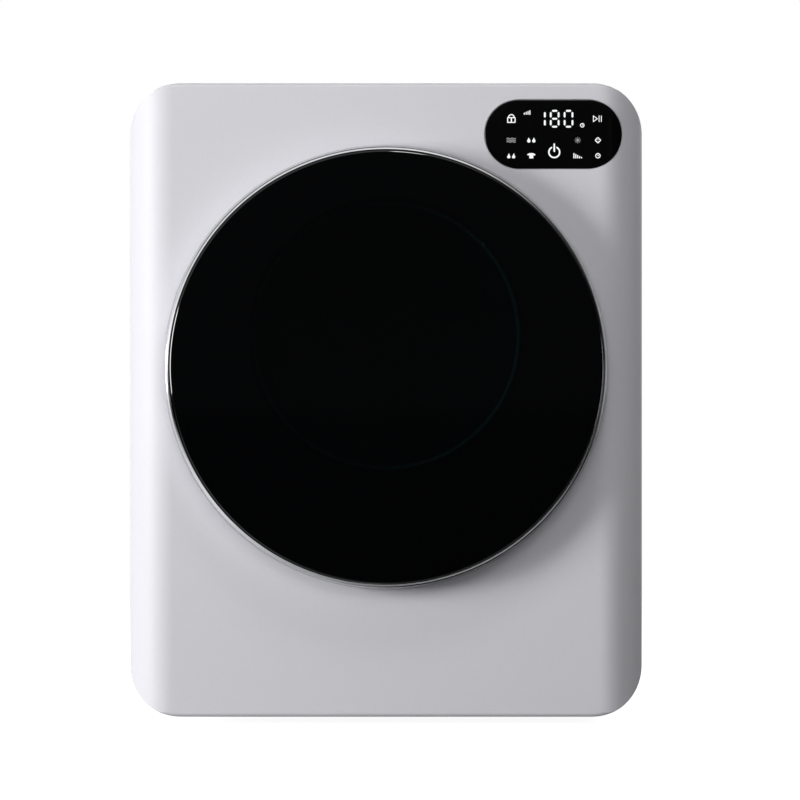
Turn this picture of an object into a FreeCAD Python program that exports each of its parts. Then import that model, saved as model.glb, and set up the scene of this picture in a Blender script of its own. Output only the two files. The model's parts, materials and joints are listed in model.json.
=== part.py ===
import FreeCAD, Part
import math
import os

# Portable clothes dryer: a compact vented tumble dryer with a round door, in millimetres.
# X is to the right, Y to the rear and Z up. Pieces are drawn with the front face at y = 0,
# and are moved at the end so that the origin lies under the middle of the whole machine.
V = FreeCAD.Vector

# Mouth and drum, from which the casing is worked out
MOUTH_R = 157.0            # clear radius of the loading mouth
MOUTH_T = 3.0              # wall of the moulded mouth ring
MOUTH_FLANGE_W = 18.0      # flange that screws to the front bulkhead
MOUTH_REACH = 14.0         # how far the mouth ring reaches into the drum
FELT_T = 6.7               # felt band between the mouth ring and the drum lip
FELT_W = 12.0
RUN_GAP = 0.3              # free gap between pieces that pass each other
DRUM_SHOULDER = 45.0       # drum front wall, from its lip to its skin
DRUM_T = 1.0
DRUM_L = 259.0
DRUM_LIP_L = 16.0
DRUM_BACK_T = 1.2
BEAD_H = 2.0               # two rolled beads beside the belt
BEAD_W = 6.0
BEAD_GAP = 6.0
PERF_R = 4.0               # holes of the drum back
PERF_RADII = (90.0, 115.0, 140.0, 165.0)
PERF_COUNTS = (16, 20, 24, 28)
VENT_R = 6.0               # holes behind the lint filter
VENT_RING_R = 42.0
VENT_COUNT = 10
LIFTER_COUNT = 3
LIFTER_H = 44.0
LIFTER_BASE_W = 46.0
LIFTER_TIP_R = 8.0
LIFTER_END_GAP = 18.0      # free drum length before and behind a lifter
LIFTER_SEAT = 0.1

# Sheet metal, mouldings and the room left inside the casing
SHEET_T = 1.2
WRAP_INSET = 1.0           # the steel wrap lies this far inside the moulded front
WRAP_SEAM = 0.6
TRAY_SIDE_H = 62.0         # height of the base tray's turned-up sides
REAR_FLANGE_W = 16.0
SIDE_ROOM = 30.8
TOP_ROOM = 24.8
MACHINE_ROOM = 146.8       # from the tray floor to the underside of the drum
REAR_ROOM = 5.8
DRUM_FRONT_ROOM = 6.8
OUTLINE_R = 50.0           # corners of the front outline
FRONT_R = 42.0             # roll of the front's left and right edges
EDGE_R = 4.0
FASCIA_T = 3.0
FASCIA_D = 70.0
BULKHEAD_Y = 33.0
BULKHEAD_ROOM = 3.0
BOSS_R = 6.0
BOSS_EDGE = 40.0           # post centres from the left and right sides
BOSS_RISES = (52.0, 222.0)  # lower posts above the body's underside
BOSS_DROP = 93.0           # top posts below the body's top
FOOT_R = 18.0
FOOT_H = 8.0
FOOT_SIDE = 75.0           # foot centres from the sides
FOOT_FRONT = 56.0          # front foot centres behind the moulded front
FOOT_REAR = 40.0

# Screws
SCREW_R = 2.0
SCREW_FIT = 0.05
SCREW_HEAD_R = 3.8
SCREW_HEAD_H = 2.2
SCREW_L = 9.0
FLUSH_HEAD_H = 1.8         # head of a countersunk screw
DRIVE_W = 0.9              # arms of the cross recess in a head
DRIVE_SHARE = 0.6          # the recess's part of the head, across and in depth

# Touch panel and its electronics
PILL_W = 130.0
PILL_H = 65.3
PILL_EDGE = 86.5           # centre from the right side
PILL_DROP = 48.5           # centre below the top
PILL_PROUD = 0.4
PILL_SEAT = 2.0            # depth of the pocket that holds the lens
PILL_FIT = 0.25
PILL_ROUND = 0.7           # rounded edges of the lens and of its pocket
SKIN_TOLERANCE = 0.001     # an edge this near to a skin lies on it
PILL_LEDGE = 9.0           # width of the ledge under the lens
DISPLAY_BOX_D = 24.0
DISPLAY_BOX_MARGIN = 5.0
DISPLAY_BOX_T = 1.6
BOARD_T = 1.6
BOARD_ROOM = 6.0           # from the fascia's back to the display board
MODULE_IN = 15.0           # lit module inside the display housing's outline
MODULE_T = 3.0
DISPLAY_LEG_X = 32.5       # legs of the board beside the panel centre

# Door
DOOR_DROP = 30.0           # door centre below the mouth centre
DOOR_COVER = 23.0          # door rim beyond the lowest edge of the mouth
DOOR_GAP = 3.0
DOOR_D = 25.0
RING_BACK_IN = 3.5         # the ring's back edge, drawn in from its widest line
RING_FRONT_IN = 3.6
RING_WIDEST = 4.0          # the widest line, in front of the ring's back edge
RING_LIP = 3.0
RING_LIP_ROUND = 1.2       # the lip falls away this far to its outer side
RING_LIP_PROUD = 0.5       # the lip stands this far in front of the glass edge
RING_SEAT_IN = 1.5
RING_SHELF_W = 5.0
RING_SHELF_T = 3.0
GLASS_T = 3.6
GLASS_CROWN = 1.6
GLASS_FIT = 0.15
FRAME_T = 3.0
FRAME_RIM_W = 3.7
PLUG_ROOM = 7.0            # the plug collar's free gap in the mouth
PLUG_L = 15.0
PLUG_BAND = 19.0
BOWL_FIT = 3.0
BOWL_T = 4.0
BOWL_DEPTH = 70.0
BOWL_TAPER = 11.0
BOWL_ROUND = 16.0
BOWL_FLANGE_W = 9.0
BOWL_FLANGE_T = 3.0
CLAMP_T = 3.0
CLAMP_ROOM = 2.4           # free space between the clamp screws and the glass
CLAMP_COUNT = 6
POST_R = 3.5
POST_OFFSET = 14.5         # clamp posts outside the bowl
DOOR_SCREW_COUNT = 8
DOOR_SCREW_R = 1.2
DOOR_SCREW_HEAD_R = 2.0
DOOR_SCREW_IN = 2.25       # rim screws inside the frame's edge
DOOR_SCREW_HEAD_H = 1.4
GASKET_IN = 1.0
GASKET_W = 8.0
GASKET_T = 2.7

# Door hinge
HINGE_IN = 8.5             # hinge line inside the ring's widest line
HINGE_OUT = 10.0           # hinge line in front of the face
KNUCKLE_R = 4.5
KNUCKLE_H = 34.0
EAR_H = 10.5
EAR_GAP = 0.5
PIN_R = 2.0
PIN_FIT = 0.05
PIN_HEAD_R = 3.4
PIN_HEAD_H = 1.4
NOTCH_GAP = 2.0
NOTCH_FRONT = 12.0
NOTCH_LEFT = 11.0
NOTCH_RIGHT = 15.0
BRACKET_T = 2.0
BRACKET_REACH = 34.0       # bracket plate, measured from the hinge line
LEAF_T = 3.0
LEAF_REACH = 42.0
LEAF_H = 50.0
LEAF_SCREW_L = 5.4
LEAF_SCREW_RISE = 16.6     # screw rows above and below the door centre
LEAF_SCREW_RUN = 11.4      # between the two screws of a row
BRACKET_SCREW_RISE = 12.5
BRACKET_SCREW_RUN = 7.6
HINGE_BLOCK_D = 9.0        # thick pad behind the face under the bracket

# Catch and door switch
CATCH_CLEAR = 10.0         # catch beside the face gasket
CATCH_W = 14.0
CATCH_H = 28.0
CATCH_RIM = 2.0
CATCH_PROUD = 1.5
CATCH_D = 6.0
STRIKE_T = 0.8
SWITCH_RISE = 45.0         # plunger above the catch
PLUNGER_R = 3.0
PLUNGER_L = 14.0
PLUNGER_TRAVEL = 3.0
SWITCH_W = 14.0

# Drum shaft, bearing and lint filter
SHAFT_R = 10.0
SHAFT_FIT = 0.05
SHAFT_FLANGE_R = 30.0
SHAFT_FLANGE_T = 4.0
SHAFT_TAIL = 3.0
SHAFT_NUT_R = 12.0
SHAFT_NUT_H = 7.0
SHAFT_NUT_SIDES_COUNT = 6
STUD_R = 5.0
BUSH_T = 4.0
SPIDER_HUB_T = 6.0
SPIDER_HUB_L = 20.0
SPIDER_RING_IN = 50.0
SPIDER_RING_OUT = 68.0
SPIDER_T = 4.0
SPIDER_ARM_W = 12.0
SPIDER_ARM_COUNT = 3
CENTRE_HOLE_R = 55.0
REAR_FELT_T = 10.5
REAR_FELT_EDGE = 17.0      # the felt's inner edge inside the drum's skin
REAR_FELT_W = 10.0
REAR_SKIRT_L = 16.0
REAR_FIT = 0.3
FILTER_R = 62.0
FILTER_H = 16.0
FILTER_T = 2.5
FILTER_SLOT_W = 4.0
FILTER_SLOT_PITCH = 9.0
FILTER_RIM = 9.0
FILTER_BAR = 14.0           # plain bar across the middle, under the grip
FILTER_GRIP_W = 44.0
FILTER_GRIP_T = 8.0
FILTER_GRIP_H = 13.0

# Air path
DUCT_T = 2.0
DUCT_D = 26.8
DUCT_SIDE_GAP = 4.0        # return duct beside the bearing spider
DUCT_LOWER_W = 60.0        # return duct beyond the motor line
BLOWER_R = 68.0
BLOWER_D = 36.0
BLOWER_INLET_R = 38.0
WHEEL_R = 58.0
WHEEL_EYE_R = 42.0
WHEEL_BLADES = 24
WHEEL_BLADE_T = 1.5
WHEEL_PLATE_T = 2.0
WHEEL_GAP = 3.0
WHEEL_HUB_R = 10.0
WHEEL_HUB_L = 16.0
WHEEL_BLADE_LEAN = 28.0
EXHAUST_RUN = 150.0        # exhaust beside the motor line
COLLAR_R = 50.0
COLLAR_T = 2.5
COLLAR_NECK = 0.8          # the neck inside the casing, drawn in from the spigot
COLLAR_OUT = 30.0
COLLAR_FLANGE_W = 8.0
COLLAR_FLANGE_T = 2.0
COLLAR_FIT = 0.4
OUTLET_MARGIN = 4.0
HEATER_SIDE_GAP = 6.2      # heater duct beside the wall nuts
HEATER_LIFT = 2.0          # heater duct above the return duct
HEATER_W = 120.0
HEATER_H = 120.0
HEATER_CORE_Y = 28.0
HEATER_CORE_D = 14.0
HEATER_FIN_COUNT = 12
HEATER_FIN_T = 1.2
HEATER_FRAME_T = 5.0
HEATER_FIT = 0.2
HEATER_BAR_R = 3.0
HOT_WINDOW = 50.0
HOT_EDGE = 2.0
CUTOUT_R = 9.0
CUTOUT_H = 8.0
TERMINAL_W = 6.0
TERMINAL_T = 0.8
TERMINAL_L = 8.0
GRILLE_MARGIN = 10.0
GRILLE_RIM = 6.0
GRILLE_T = 2.0
GRILLE_SLOTS = 11
GRILLE_SLOT_H = 4.6
GRILLE_SIDE = 8.0

# Rear fittings
GLAND_EDGE = 60.0          # cord gland from the casing's left side
GLAND_RISE = 70.0          # and above its underside
GLAND_R = 11.0
GLAND_BORE_R = 4.0
GLAND_OUT = 8.0
GLAND_IN = 9.0
GLAND_FLANGE_W = 4.0
GLAND_FLANGE_T = 2.6
WALL_NUT_EDGE = 30.0       # wall nuts from the casing's sides
WALL_NUT_LOW = 190.0       # lower row above the body's underside
WALL_NUT_SPAN = 300.0
WALL_NUT_R = 3.0
WALL_NUT_T = 1.8
WALL_NUT_L = 12.0
WALL_NUT_FLANGE_R = 7.5
WALL_NUT_FLANGE_T = 1.0

# Drive
MOTOR_EDGE = 135.0         # motor line from the casing's right side
MOTOR_CLEAR = 13.8         # blower housing above the tray floor
MOTOR_R = 48.0
MOTOR_L = 110.0
MOTOR_Y = 175.0
MOTOR_WALL = 1.8
MOTOR_BELL_T = 3.0
MOTOR_NOSE_R = 14.0
MOTOR_NOSE_L = 5.0
MOTOR_HOLE_GAP = 3.0       # free gap round the shaft where it passes the rear bulkhead
MOTOR_SHAFT_R = 6.0
MOTOR_SHAFT_FIT = 0.05
MOTOR_SEAT_FIT = 0.02
ROTOR_R = 30.0
ROTOR_END = 20.0
ROTOR_GAP = 0.6
STATOR_GAP = 0.2
PULLEY_R = 10.0
PULLEY_W = 14.0
BELT_Y = 150.0
BELT_W = 8.0
BELT_T = 2.0
IDLER_RUN = 90.0           # idler beside the motor line
IDLER_RISE = 49.8          # and above the tray floor
IDLER_R = 16.0
IDLER_FLANGE = 2.5
IDLER_FLANGE_T = 2.5
IDLER_PIN_R = 3.0
PIVOT_RUN = 48.0           # arm pivot beside the motor line
PIVOT_RISE = 23.8          # and above the tray floor
PIVOT_R = 4.0
ARM_W = 16.0
ARM_T = 4.0
ARM_GAP = 3.5              # between the idler pulley and the arm, and the arm and its bracket
BRACKET_PLATE_T = 4.0
BRACKET_W = 22.0
BRACKET_FOOT = 14.0
CRADLE_T = 3.0
CRADLE_W = 104.0
SADDLE_T = 8.0
SADDLE_IN = 15.0
SADDLE_DROP = 12.0         # saddle tops below the motor axis
SADDLE_FIT = 0.1
CAPACITOR_GAP = 16.0       # capacitor beside the control housing
CAPACITOR_FRONT = 20.0     # capacitor behind the moulded front
CAPACITOR_R = 19.0
CAPACITOR_L = 85.0
CAPACITOR_CLIP_T = 1.5
CAPACITOR_CLIP_W = 20.0

# Power electronics on the tray floor
CONTROL_EDGE = 60.0        # control housing from the casing's left side
CONTROL_BEHIND = 10.0      # control housing behind the screw of the front foot
CONTROL_W = 95.0
CONTROL_L = 130.0
CONTROL_H = 46.0
CONTROL_T = 2.0
CONTROL_POST_H = 8.0
CONTROL_POST_R = 4.0
BOARD_EDGE = 4.0
BOARD_FIT = 1.0
RELAY_W = 26.0
RELAY_H = 15.0
COIL_R = 12.0
COIL_H = 23.0
COIL_IN = 24.0             # coil centre inside the board's edge

# Places and sizes that follow from the values above
MOUTH_OUT_R = MOUTH_R + MOUTH_T
LIP_R = MOUTH_OUT_R + FELT_T + RUN_GAP
DRUM_R = LIP_R + DRUM_SHOULDER
DRUM_IN_R = DRUM_R - DRUM_T
WRAP_IN = WRAP_INSET + SHEET_T
BODY_W = 2 * (DRUM_R + SIDE_ROOM + WRAP_IN)
FLOOR_Z = FOOT_H + WRAP_IN
DRUM_Z = FLOOR_Z + MACHINE_ROOM + DRUM_R
BODY_TOP = DRUM_Z + DRUM_R + TOP_ROOM + WRAP_IN
REAR_FELT_IN = DRUM_R - REAR_FELT_EDGE
DRUM_Y0 = BULKHEAD_Y + SHEET_T + DRUM_FRONT_ROOM
DRUM_Y1 = DRUM_Y0 + DRUM_L
DRUM_BACK_Y = DRUM_Y1 + DRUM_BACK_T
REAR_Y = DRUM_BACK_Y + RUN_GAP + REAR_FELT_T
AIR_Y = REAR_Y + SHEET_T
BLOWER_Y = AIR_Y + DUCT_D
BLOWER_Y1 = BLOWER_Y + BLOWER_D
PANEL_Y = BLOWER_Y1 + COLLAR_FLANGE_T + REAR_ROOM
BODY_D = PANEL_Y + SHEET_T
DOOR_Z = DRUM_Z - DOOR_DROP
RING_R = MOUTH_R + DOOR_DROP + DOOR_COVER
DOOR_FRONT = -(DOOR_GAP + DOOR_D)
FRONT_SHIFT = -(DOOR_GAP + DOOR_D + BODY_D + COLLAR_OUT) / 2 + DOOR_GAP + DOOR_D
RING_FRONT_R = RING_R - RING_FRONT_IN
RING_FRONT_Y = DOOR_FRONT + GLASS_CROWN
GLASS_R = RING_FRONT_R - RING_LIP
RING_IN_R = GLASS_R - RING_SEAT_IN
SHELF_Y = RING_FRONT_Y + GLASS_T
SHELF_BACK_Y = SHELF_Y + RING_SHELF_T
FRAME_R = RING_IN_R - GLASS_FIT
PLUG_R = MOUTH_R - PLUG_ROOM
PLUG_END = PLUG_L - DOOR_GAP
BOWL_R = PLUG_R - PLUG_BAND
BOWL_HOLE_R = BOWL_R + BOWL_FIT
CLAMP_Y = SHELF_Y + CLAMP_ROOM + SCREW_HEAD_H
BOWL_RIM_Y = CLAMP_Y + CLAMP_T
BOWL_SEAT_Y = BOWL_RIM_Y + BOWL_FLANGE_T
FRAME_Y = -(DOOR_GAP + FRAME_T)
HINGE_Y = -HINGE_OUT
HINGE_X = -(RING_R - HINGE_IN)
HINGE_HALF = KNUCKLE_H / 2 + EAR_GAP + EAR_H
NOTCH_HALF = HINGE_HALF + PIN_HEAD_H + NOTCH_GAP
PILL_X = BODY_W / 2 - PILL_EDGE
PILL_Z = BODY_TOP - PILL_DROP
CATCH_X = MOUTH_R + GASKET_IN + GASKET_W + CATCH_CLEAR + CATCH_RIM + CATCH_W / 2
SWITCH_Z = DOOR_Z + SWITCH_RISE
PLUNGER_TIP = -DOOR_GAP + RUN_GAP
MOTOR_X = BODY_W / 2 - MOTOR_EDGE
MOTOR_Z = FLOOR_Z + MOTOR_CLEAR + BLOWER_R
MOTOR_Y1 = MOTOR_Y + MOTOR_L
EXHAUST_X = MOTOR_X - EXHAUST_RUN
EXHAUST_Z = MOTOR_Z + BLOWER_R - COLLAR_R - OUTLET_MARGIN - DUCT_T
DUCT_HALF = SPIDER_RING_OUT + DUCT_SIDE_GAP
HEATER_Z = DRUM_Z + DUCT_HALF + HEATER_LIFT
WALL_NUT_X = BODY_W / 2 - WALL_NUT_EDGE
WALL_NUT_OUT_R = WALL_NUT_R + WALL_NUT_T
HEATER_X = WALL_NUT_X - WALL_NUT_OUT_R - HEATER_SIDE_GAP - HEATER_W
GLAND_X = GLAND_EDGE - BODY_W / 2
GLAND_Z = FOOT_H + GLAND_RISE
IDLER_X = MOTOR_X - IDLER_RUN
IDLER_Z = FLOOR_Z + IDLER_RISE
PIVOT_X = MOTOR_X - PIVOT_RUN
PIVOT_Z = FLOOR_Z + PIVOT_RISE
ARM_Y = BELT_Y + PULLEY_W / 2 + ARM_GAP
BRACKET_Y = ARM_Y + ARM_T + ARM_GAP
CONTROL_X = CONTROL_EDGE - BODY_W / 2
CONTROL_Y = FASCIA_D + FOOT_FRONT + CONTROL_BEHIND
CAPACITOR_Y = FASCIA_D + CAPACITOR_FRONT
CAPACITOR_X = CONTROL_X + CONTROL_W + CAPACITOR_GAP + CAPACITOR_R
CAPACITOR_Z = FLOOR_Z + CAPACITOR_CLIP_T + CAPACITOR_R


# Helpers

def box(x0, x1, y0, y1, z0, z1):
    return Part.makeBox(x1 - x0, y1 - y0, z1 - z0, V(x0, y0, z0))


def rod(radius, y0, y1, x, z):
    """A round bar along Y."""
    return Part.makeCylinder(radius, y1 - y0, V(x, y0, z), V(0, 1, 0))


def post(radius, z0, z1, x, y):
    """A round bar along Z."""
    return Part.makeCylinder(radius, z1 - z0, V(x, y, z0), V(0, 0, 1))


def tube(r_in, r_out, y0, y1, x, z):
    return rod(r_out, y0, y1, x, z).cut(rod(r_in, y0, y1, x, z))


def turned(profile, x, z):
    """A piece turned about a line along Y, from its (radius, y) corners."""
    corners = [V(x + radius, y, z) for radius, y in profile]
    face = Part.Face(Part.makePolygon(corners + corners[:1]))
    return face.revolve(V(x, 0, z), V(0, 1, 0), 360)


def turned_path(steps, x, z):
    """A piece turned about a line along Y. A step (radius, y) is a straight edge to that corner,
    and (middle radius, middle y, radius, y) an arc through its middle to its end."""
    places = [V(x + step[-2], step[-1], z) for step in steps]
    edges = []
    for i, place in enumerate(places):
        step = steps[i]
        if len(step) == 4:
            middle = V(x + step[0], step[1], z)
            edges.append(Part.Arc(places[i - 1], middle, place).toShape())
        else:
            edges.append(Part.LineSegment(places[i - 1], place).toShape())
    face = Part.Face(Part.Wire(Part.__sortEdges__(edges)))
    return face.revolve(V(x, 0, z), V(0, 1, 0), 360)


def joined(first, *others):
    return first.multiFuse(list(others)).removeSplitter()


def around(count, radius, x, z, start=0.0):
    """Evenly spaced places on a circle, as (x, z) pairs."""
    angles = [start + 2 * math.pi * i / count for i in range(count)]
    return [(x + radius * math.cos(a), z + radius * math.sin(a)) for a in angles]


def cross_recess(x, z, outer_y, way, head_r, head_h):
    """The cross slot of a screw head, sunk along way from the head's outer face."""
    reach = head_r * DRIVE_SHARE
    half = DRIVE_W / 2
    low, high = sorted((outer_y, outer_y + way * head_h * DRIVE_SHARE))
    level = box(x - reach, x + reach, low, high, z - half, z + half)
    return joined(level, box(x - half, x + half, low, high, z - reach, z + reach))


def screw(x, z, face_y, way, length=SCREW_L, radius=SCREW_R, head_r=SCREW_HEAD_R, head_h=SCREW_HEAD_H):
    """A pan-head screw along Y: its head stands on face_y, and its shank points along way."""
    shank = sorted((face_y, face_y + way * length))
    head = sorted((face_y, face_y - way * head_h))
    body = joined(rod(radius, shank[0], shank[1], x, z), rod(head_r, head[0], head[1], x, z))
    return body.cut(cross_recess(x, z, face_y - way * head_h, way, head_r, head_h))


def drilled(shape, places, y0, y1, radius=SCREW_R + SCREW_FIT):
    return shape.cut([rod(radius, y0, y1, x, z) for x, z in places])


def outline_bar(inset, y0, y1):
    """The rounded front outline, drawn in by inset, as a bar along Y."""
    half = BODY_W / 2 - inset
    bar = box(-half, half, y0, y1, FOOT_H + inset, BODY_TOP - inset)
    corners = [e for e in bar.Edges if e.BoundBox.YLength > (y1 - y0) / 2]
    return bar.makeFillet(OUTLINE_R - inset, corners)


def front_form(inset, edge_r):
    """The moulded front as a solid block, drawn in by inset on its front and sides."""
    bar = outline_bar(inset, inset, FASCIA_D)
    if edge_r > 0:
        rim = [e for e in bar.Edges if e.BoundBox.YMax < inset + edge_r / 2]
        bar = bar.makeFillet(edge_r, rim)
    half = BODY_W / 2 - inset
    plan = box(-half, half, inset, FASCIA_D, FOOT_H - EDGE_R, BODY_TOP + EDGE_R)
    rolls = [e for e in plan.Edges if e.BoundBox.ZLength > BODY_W / 2 and e.BoundBox.YMax < FASCIA_D / 2]
    return bar.common(plan.makeFillet(FRONT_R - inset, rolls))


def pill(grow, y0, y1):
    """The touch panel's stadium outline as a bar along Y."""
    reach = (PILL_W - PILL_H) / 2
    radius = PILL_H / 2 + grow
    middle = box(PILL_X - reach, PILL_X + reach, y0, y1, PILL_Z - radius, PILL_Z + radius)
    ends = [rod(radius, y0, y1, PILL_X + side * reach, PILL_Z) for side in (-1, 1)]
    return joined(middle, *ends)


def on_skin(edge, solid):
    """True where the middle of an edge lies on a solid's skin."""
    middle = edge.valueAt((edge.FirstParameter + edge.LastParameter) / 2)
    return solid.Shells[0].distToShape(Part.Vertex(middle))[0] < SKIN_TOLERANCE


def rounded_pill(shape, front, bar):
    """Rounds the edges where a pill-shaped bar meets the curved front."""
    rim = [e for e in shape.Edges if on_skin(e, front) and on_skin(e, bar)]
    return shape.makeFillet(PILL_ROUND, rim)


# Where the fasteners go

def boss_places():
    x = BODY_W / 2 - BOSS_EDGE
    heights = [FOOT_H + rise for rise in BOSS_RISES] + [BODY_TOP - BOSS_DROP]
    return [(side * x, z) for side in (-1, 1) for z in heights]


def foot_places():
    x = BODY_W / 2 - FOOT_SIDE
    return [(side * x, y) for side in (-1, 1) for y in (FASCIA_D + FOOT_FRONT, BODY_D - FOOT_REAR)]


def panel_places():
    """Rear panel screws: three up each side and two along the top and bottom."""
    edge = WRAP_INSET + REAR_FLANGE_W / 2
    x = BODY_W / 2 - edge
    middle = (FOOT_H + BODY_TOP) / 2
    rise = (BODY_TOP - FOOT_H) / 2 - OUTLINE_R - REAR_FLANGE_W
    sides = [(side * x, middle + step * rise) for side in (-1, 1) for step in (-1, 0, 1)]
    run = BODY_W / 2 - OUTLINE_R - REAR_FLANGE_W
    ends = [(side * run, z) for side in (-1, 1) for z in (FOOT_H + edge, BODY_TOP - edge)]
    return sides + ends


def wall_nut_places():
    low = FOOT_H + WALL_NUT_LOW
    return [(side * WALL_NUT_X, z) for side in (-1, 1) for z in (low, low + WALL_NUT_SPAN)]


def bracket_places():
    x = HINGE_X + BRACKET_REACH - SCREW_HEAD_R - BRACKET_T
    rise = BRACKET_SCREW_RISE
    return [(x - row * BRACKET_SCREW_RUN, DOOR_Z + side * rise) for row in (0, 1) for side in (-1, 1)]


def leaf_places():
    x = HINGE_X + LEAF_REACH - SCREW_HEAD_R - LEAF_T
    rise = LEAF_SCREW_RISE
    return [(x - row * LEAF_SCREW_RUN, DOOR_Z + side * rise) for row in (0, 1) for side in (-1, 1)]


def clamp_places():
    return around(CLAMP_COUNT, BOWL_R + POST_OFFSET, 0, DRUM_Z, math.pi / CLAMP_COUNT)


def door_screw_places():
    return around(DOOR_SCREW_COUNT, FRAME_R - DOOR_SCREW_IN, 0, DOOR_Z, math.pi / DOOR_SCREW_COUNT)


# Casing

def front_fascia():
    """Moulded front with rolled left and right edges, the mouth, and the touch panel's pocket."""
    outer = front_form(0, EDGE_R)
    shell = outer.cut(front_form(FASCIA_T, 0))
    posts = [rod(BOSS_R, FASCIA_T / 2, BULKHEAD_Y, x, z) for x, z in boss_places()]
    pad_x = HINGE_X + KNUCKLE_R + EAR_GAP
    pad = box(pad_x, HINGE_X + BRACKET_REACH, FASCIA_T / 2, FASCIA_T + HINGE_BLOCK_D,
              DOOR_Z - HINGE_HALF, DOOR_Z + HINGE_HALF)
    shell = joined(shell, pad, *posts)
    bar = pill(PILL_FIT, -FRONT_R, FRONT_R)
    pocket = bar.cut(front_form(PILL_SEAT, 0))
    window = pill(-PILL_LEDGE, -FRONT_R, FRONT_R)
    mouth = rod(MOUTH_R, -FASCIA_T, 2 * FASCIA_T, 0, DRUM_Z)
    catch = catch_block(-FASCIA_T, 2 * FASCIA_T, SCREW_FIT)
    plunger = rod(PLUNGER_R + RUN_GAP, -FASCIA_T, 2 * FASCIA_T, CATCH_X, SWITCH_Z)
    shell = rounded_pill(shell.cut(pocket), outer, bar)
    shell = shell.cut([window, mouth, catch, plunger])
    shell = drilled(shell, boss_places(), BULKHEAD_Y - SCREW_L, BULKHEAD_Y + FASCIA_T)
    return drilled(shell, bracket_places(), -FASCIA_T, SCREW_L)


def casing_band():
    """The sheet-steel band behind the front, with a flange for the rear panel."""
    flange_y = PANEL_Y - SHEET_T
    band = outline_bar(WRAP_INSET, FASCIA_D, PANEL_Y).cut(outline_bar(WRAP_IN, FASCIA_D, PANEL_Y))
    flange = outline_bar(WRAP_INSET, flange_y, PANEL_Y)
    flange = flange.cut(outline_bar(WRAP_INSET + REAR_FLANGE_W, flange_y, PANEL_Y))
    return drilled(joined(band, flange), panel_places(), flange_y - SHEET_T, PANEL_Y + SHEET_T)


def below_split(z):
    return box(-BODY_W, BODY_W, -BODY_D, 2 * BODY_D, -BODY_W, z)


def cabinet_wrap():
    return casing_band().cut(below_split(FOOT_H + TRAY_SIDE_H + WRAP_SEAM))


def base_tray():
    tray = casing_band().common(below_split(FOOT_H + TRAY_SIDE_H))
    return tray.cut([post(SCREW_R + SCREW_FIT, 0, FLOOR_Z + FOOT_H, x, y) for x, y in foot_places()])


def feet():
    """Rubber feet, each with a recess for its screw."""
    solids = []
    for x, y in foot_places():
        foot = Part.makeCone(FOOT_R - SHEET_T, FOOT_R, FOOT_H + WRAP_INSET, V(x, y, 0))
        recess = post(SCREW_HEAD_R + SHEET_T, 0, FOOT_H / 2, x, y)
        solids.append(foot.cut([recess, post(SCREW_R + SCREW_FIT, 0, 2 * FOOT_H, x, y)]))
    return Part.makeCompound(solids)


def casing_screws():
    """Screws of the rear panel and of the feet."""
    solids = [screw(x, z, BODY_D, -1) for x, z in panel_places()]
    for x, y in foot_places():
        shank = post(SCREW_R, FOOT_H / 2, FOOT_H / 2 + SCREW_L, x, y)
        solids.append(joined(shank, post(SCREW_HEAD_R, FOOT_H / 2 - SCREW_HEAD_H, FOOT_H / 2, x, y)))
    return Part.makeCompound(solids)


def grille_window(grow, y0, y1):
    low = GRILLE_MARGIN - grow
    return box(HEATER_X + low, HEATER_X + HEATER_W - low, y0, y1, HEATER_Z + low, HEATER_Z + HEATER_H - low)


def rear_panel():
    panel = outline_bar(WRAP_INSET, PANEL_Y, BODY_D)
    y0 = PANEL_Y - SHEET_T
    y1 = BODY_D + SHEET_T
    collar = rod(COLLAR_R + COLLAR_FIT, y0, y1, EXHAUST_X, EXHAUST_Z)
    gland = rod(GLAND_R + SCREW_FIT, y0, y1, GLAND_X, GLAND_Z)
    panel = panel.cut([collar, gland, grille_window(0, y0, y1)])
    panel = drilled(panel, wall_nut_places(), y0, y1, WALL_NUT_OUT_R + SCREW_FIT)
    return drilled(panel, panel_places(), y0, y1)


def wall_nuts():
    """Threaded inserts in the rear panel for the wall bracket."""
    solids = []
    for x, z in wall_nut_places():
        end = BODY_D - WALL_NUT_L
        profile = [(WALL_NUT_R, end), (WALL_NUT_OUT_R, end), (WALL_NUT_OUT_R, BODY_D),
                   (WALL_NUT_FLANGE_R, BODY_D), (WALL_NUT_FLANGE_R, BODY_D + WALL_NUT_FLANGE_T),
                   (WALL_NUT_R, BODY_D + WALL_NUT_FLANGE_T)]
        solids.append(turned(profile, x, z))
    return Part.makeCompound(solids)


def intake_grille():
    plate = grille_window(GRILLE_RIM, BODY_D, BODY_D + GRILLE_T)
    spigot = grille_window(-HEATER_FIT, PANEL_Y, BODY_D)
    plate = joined(plate, spigot)
    inner = HEATER_W - 2 * GRILLE_MARGIN - 2 * GRILLE_SIDE
    x0 = HEATER_X + GRILLE_MARGIN + GRILLE_SIDE
    pitch = (HEATER_H - 2 * GRILLE_MARGIN - GRILLE_SIDE) / GRILLE_SLOTS
    z0 = HEATER_Z + GRILLE_MARGIN + GRILLE_SIDE / 2 + (pitch - GRILLE_SLOT_H) / 2
    slots = []
    for i in range(GRILLE_SLOTS):
        low = z0 + i * pitch
        slots.append(box(x0, x0 + inner, PANEL_Y - SHEET_T, BODY_D + 2 * GRILLE_T,
                         low, low + GRILLE_SLOT_H))
    return plate.cut(slots)


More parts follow.
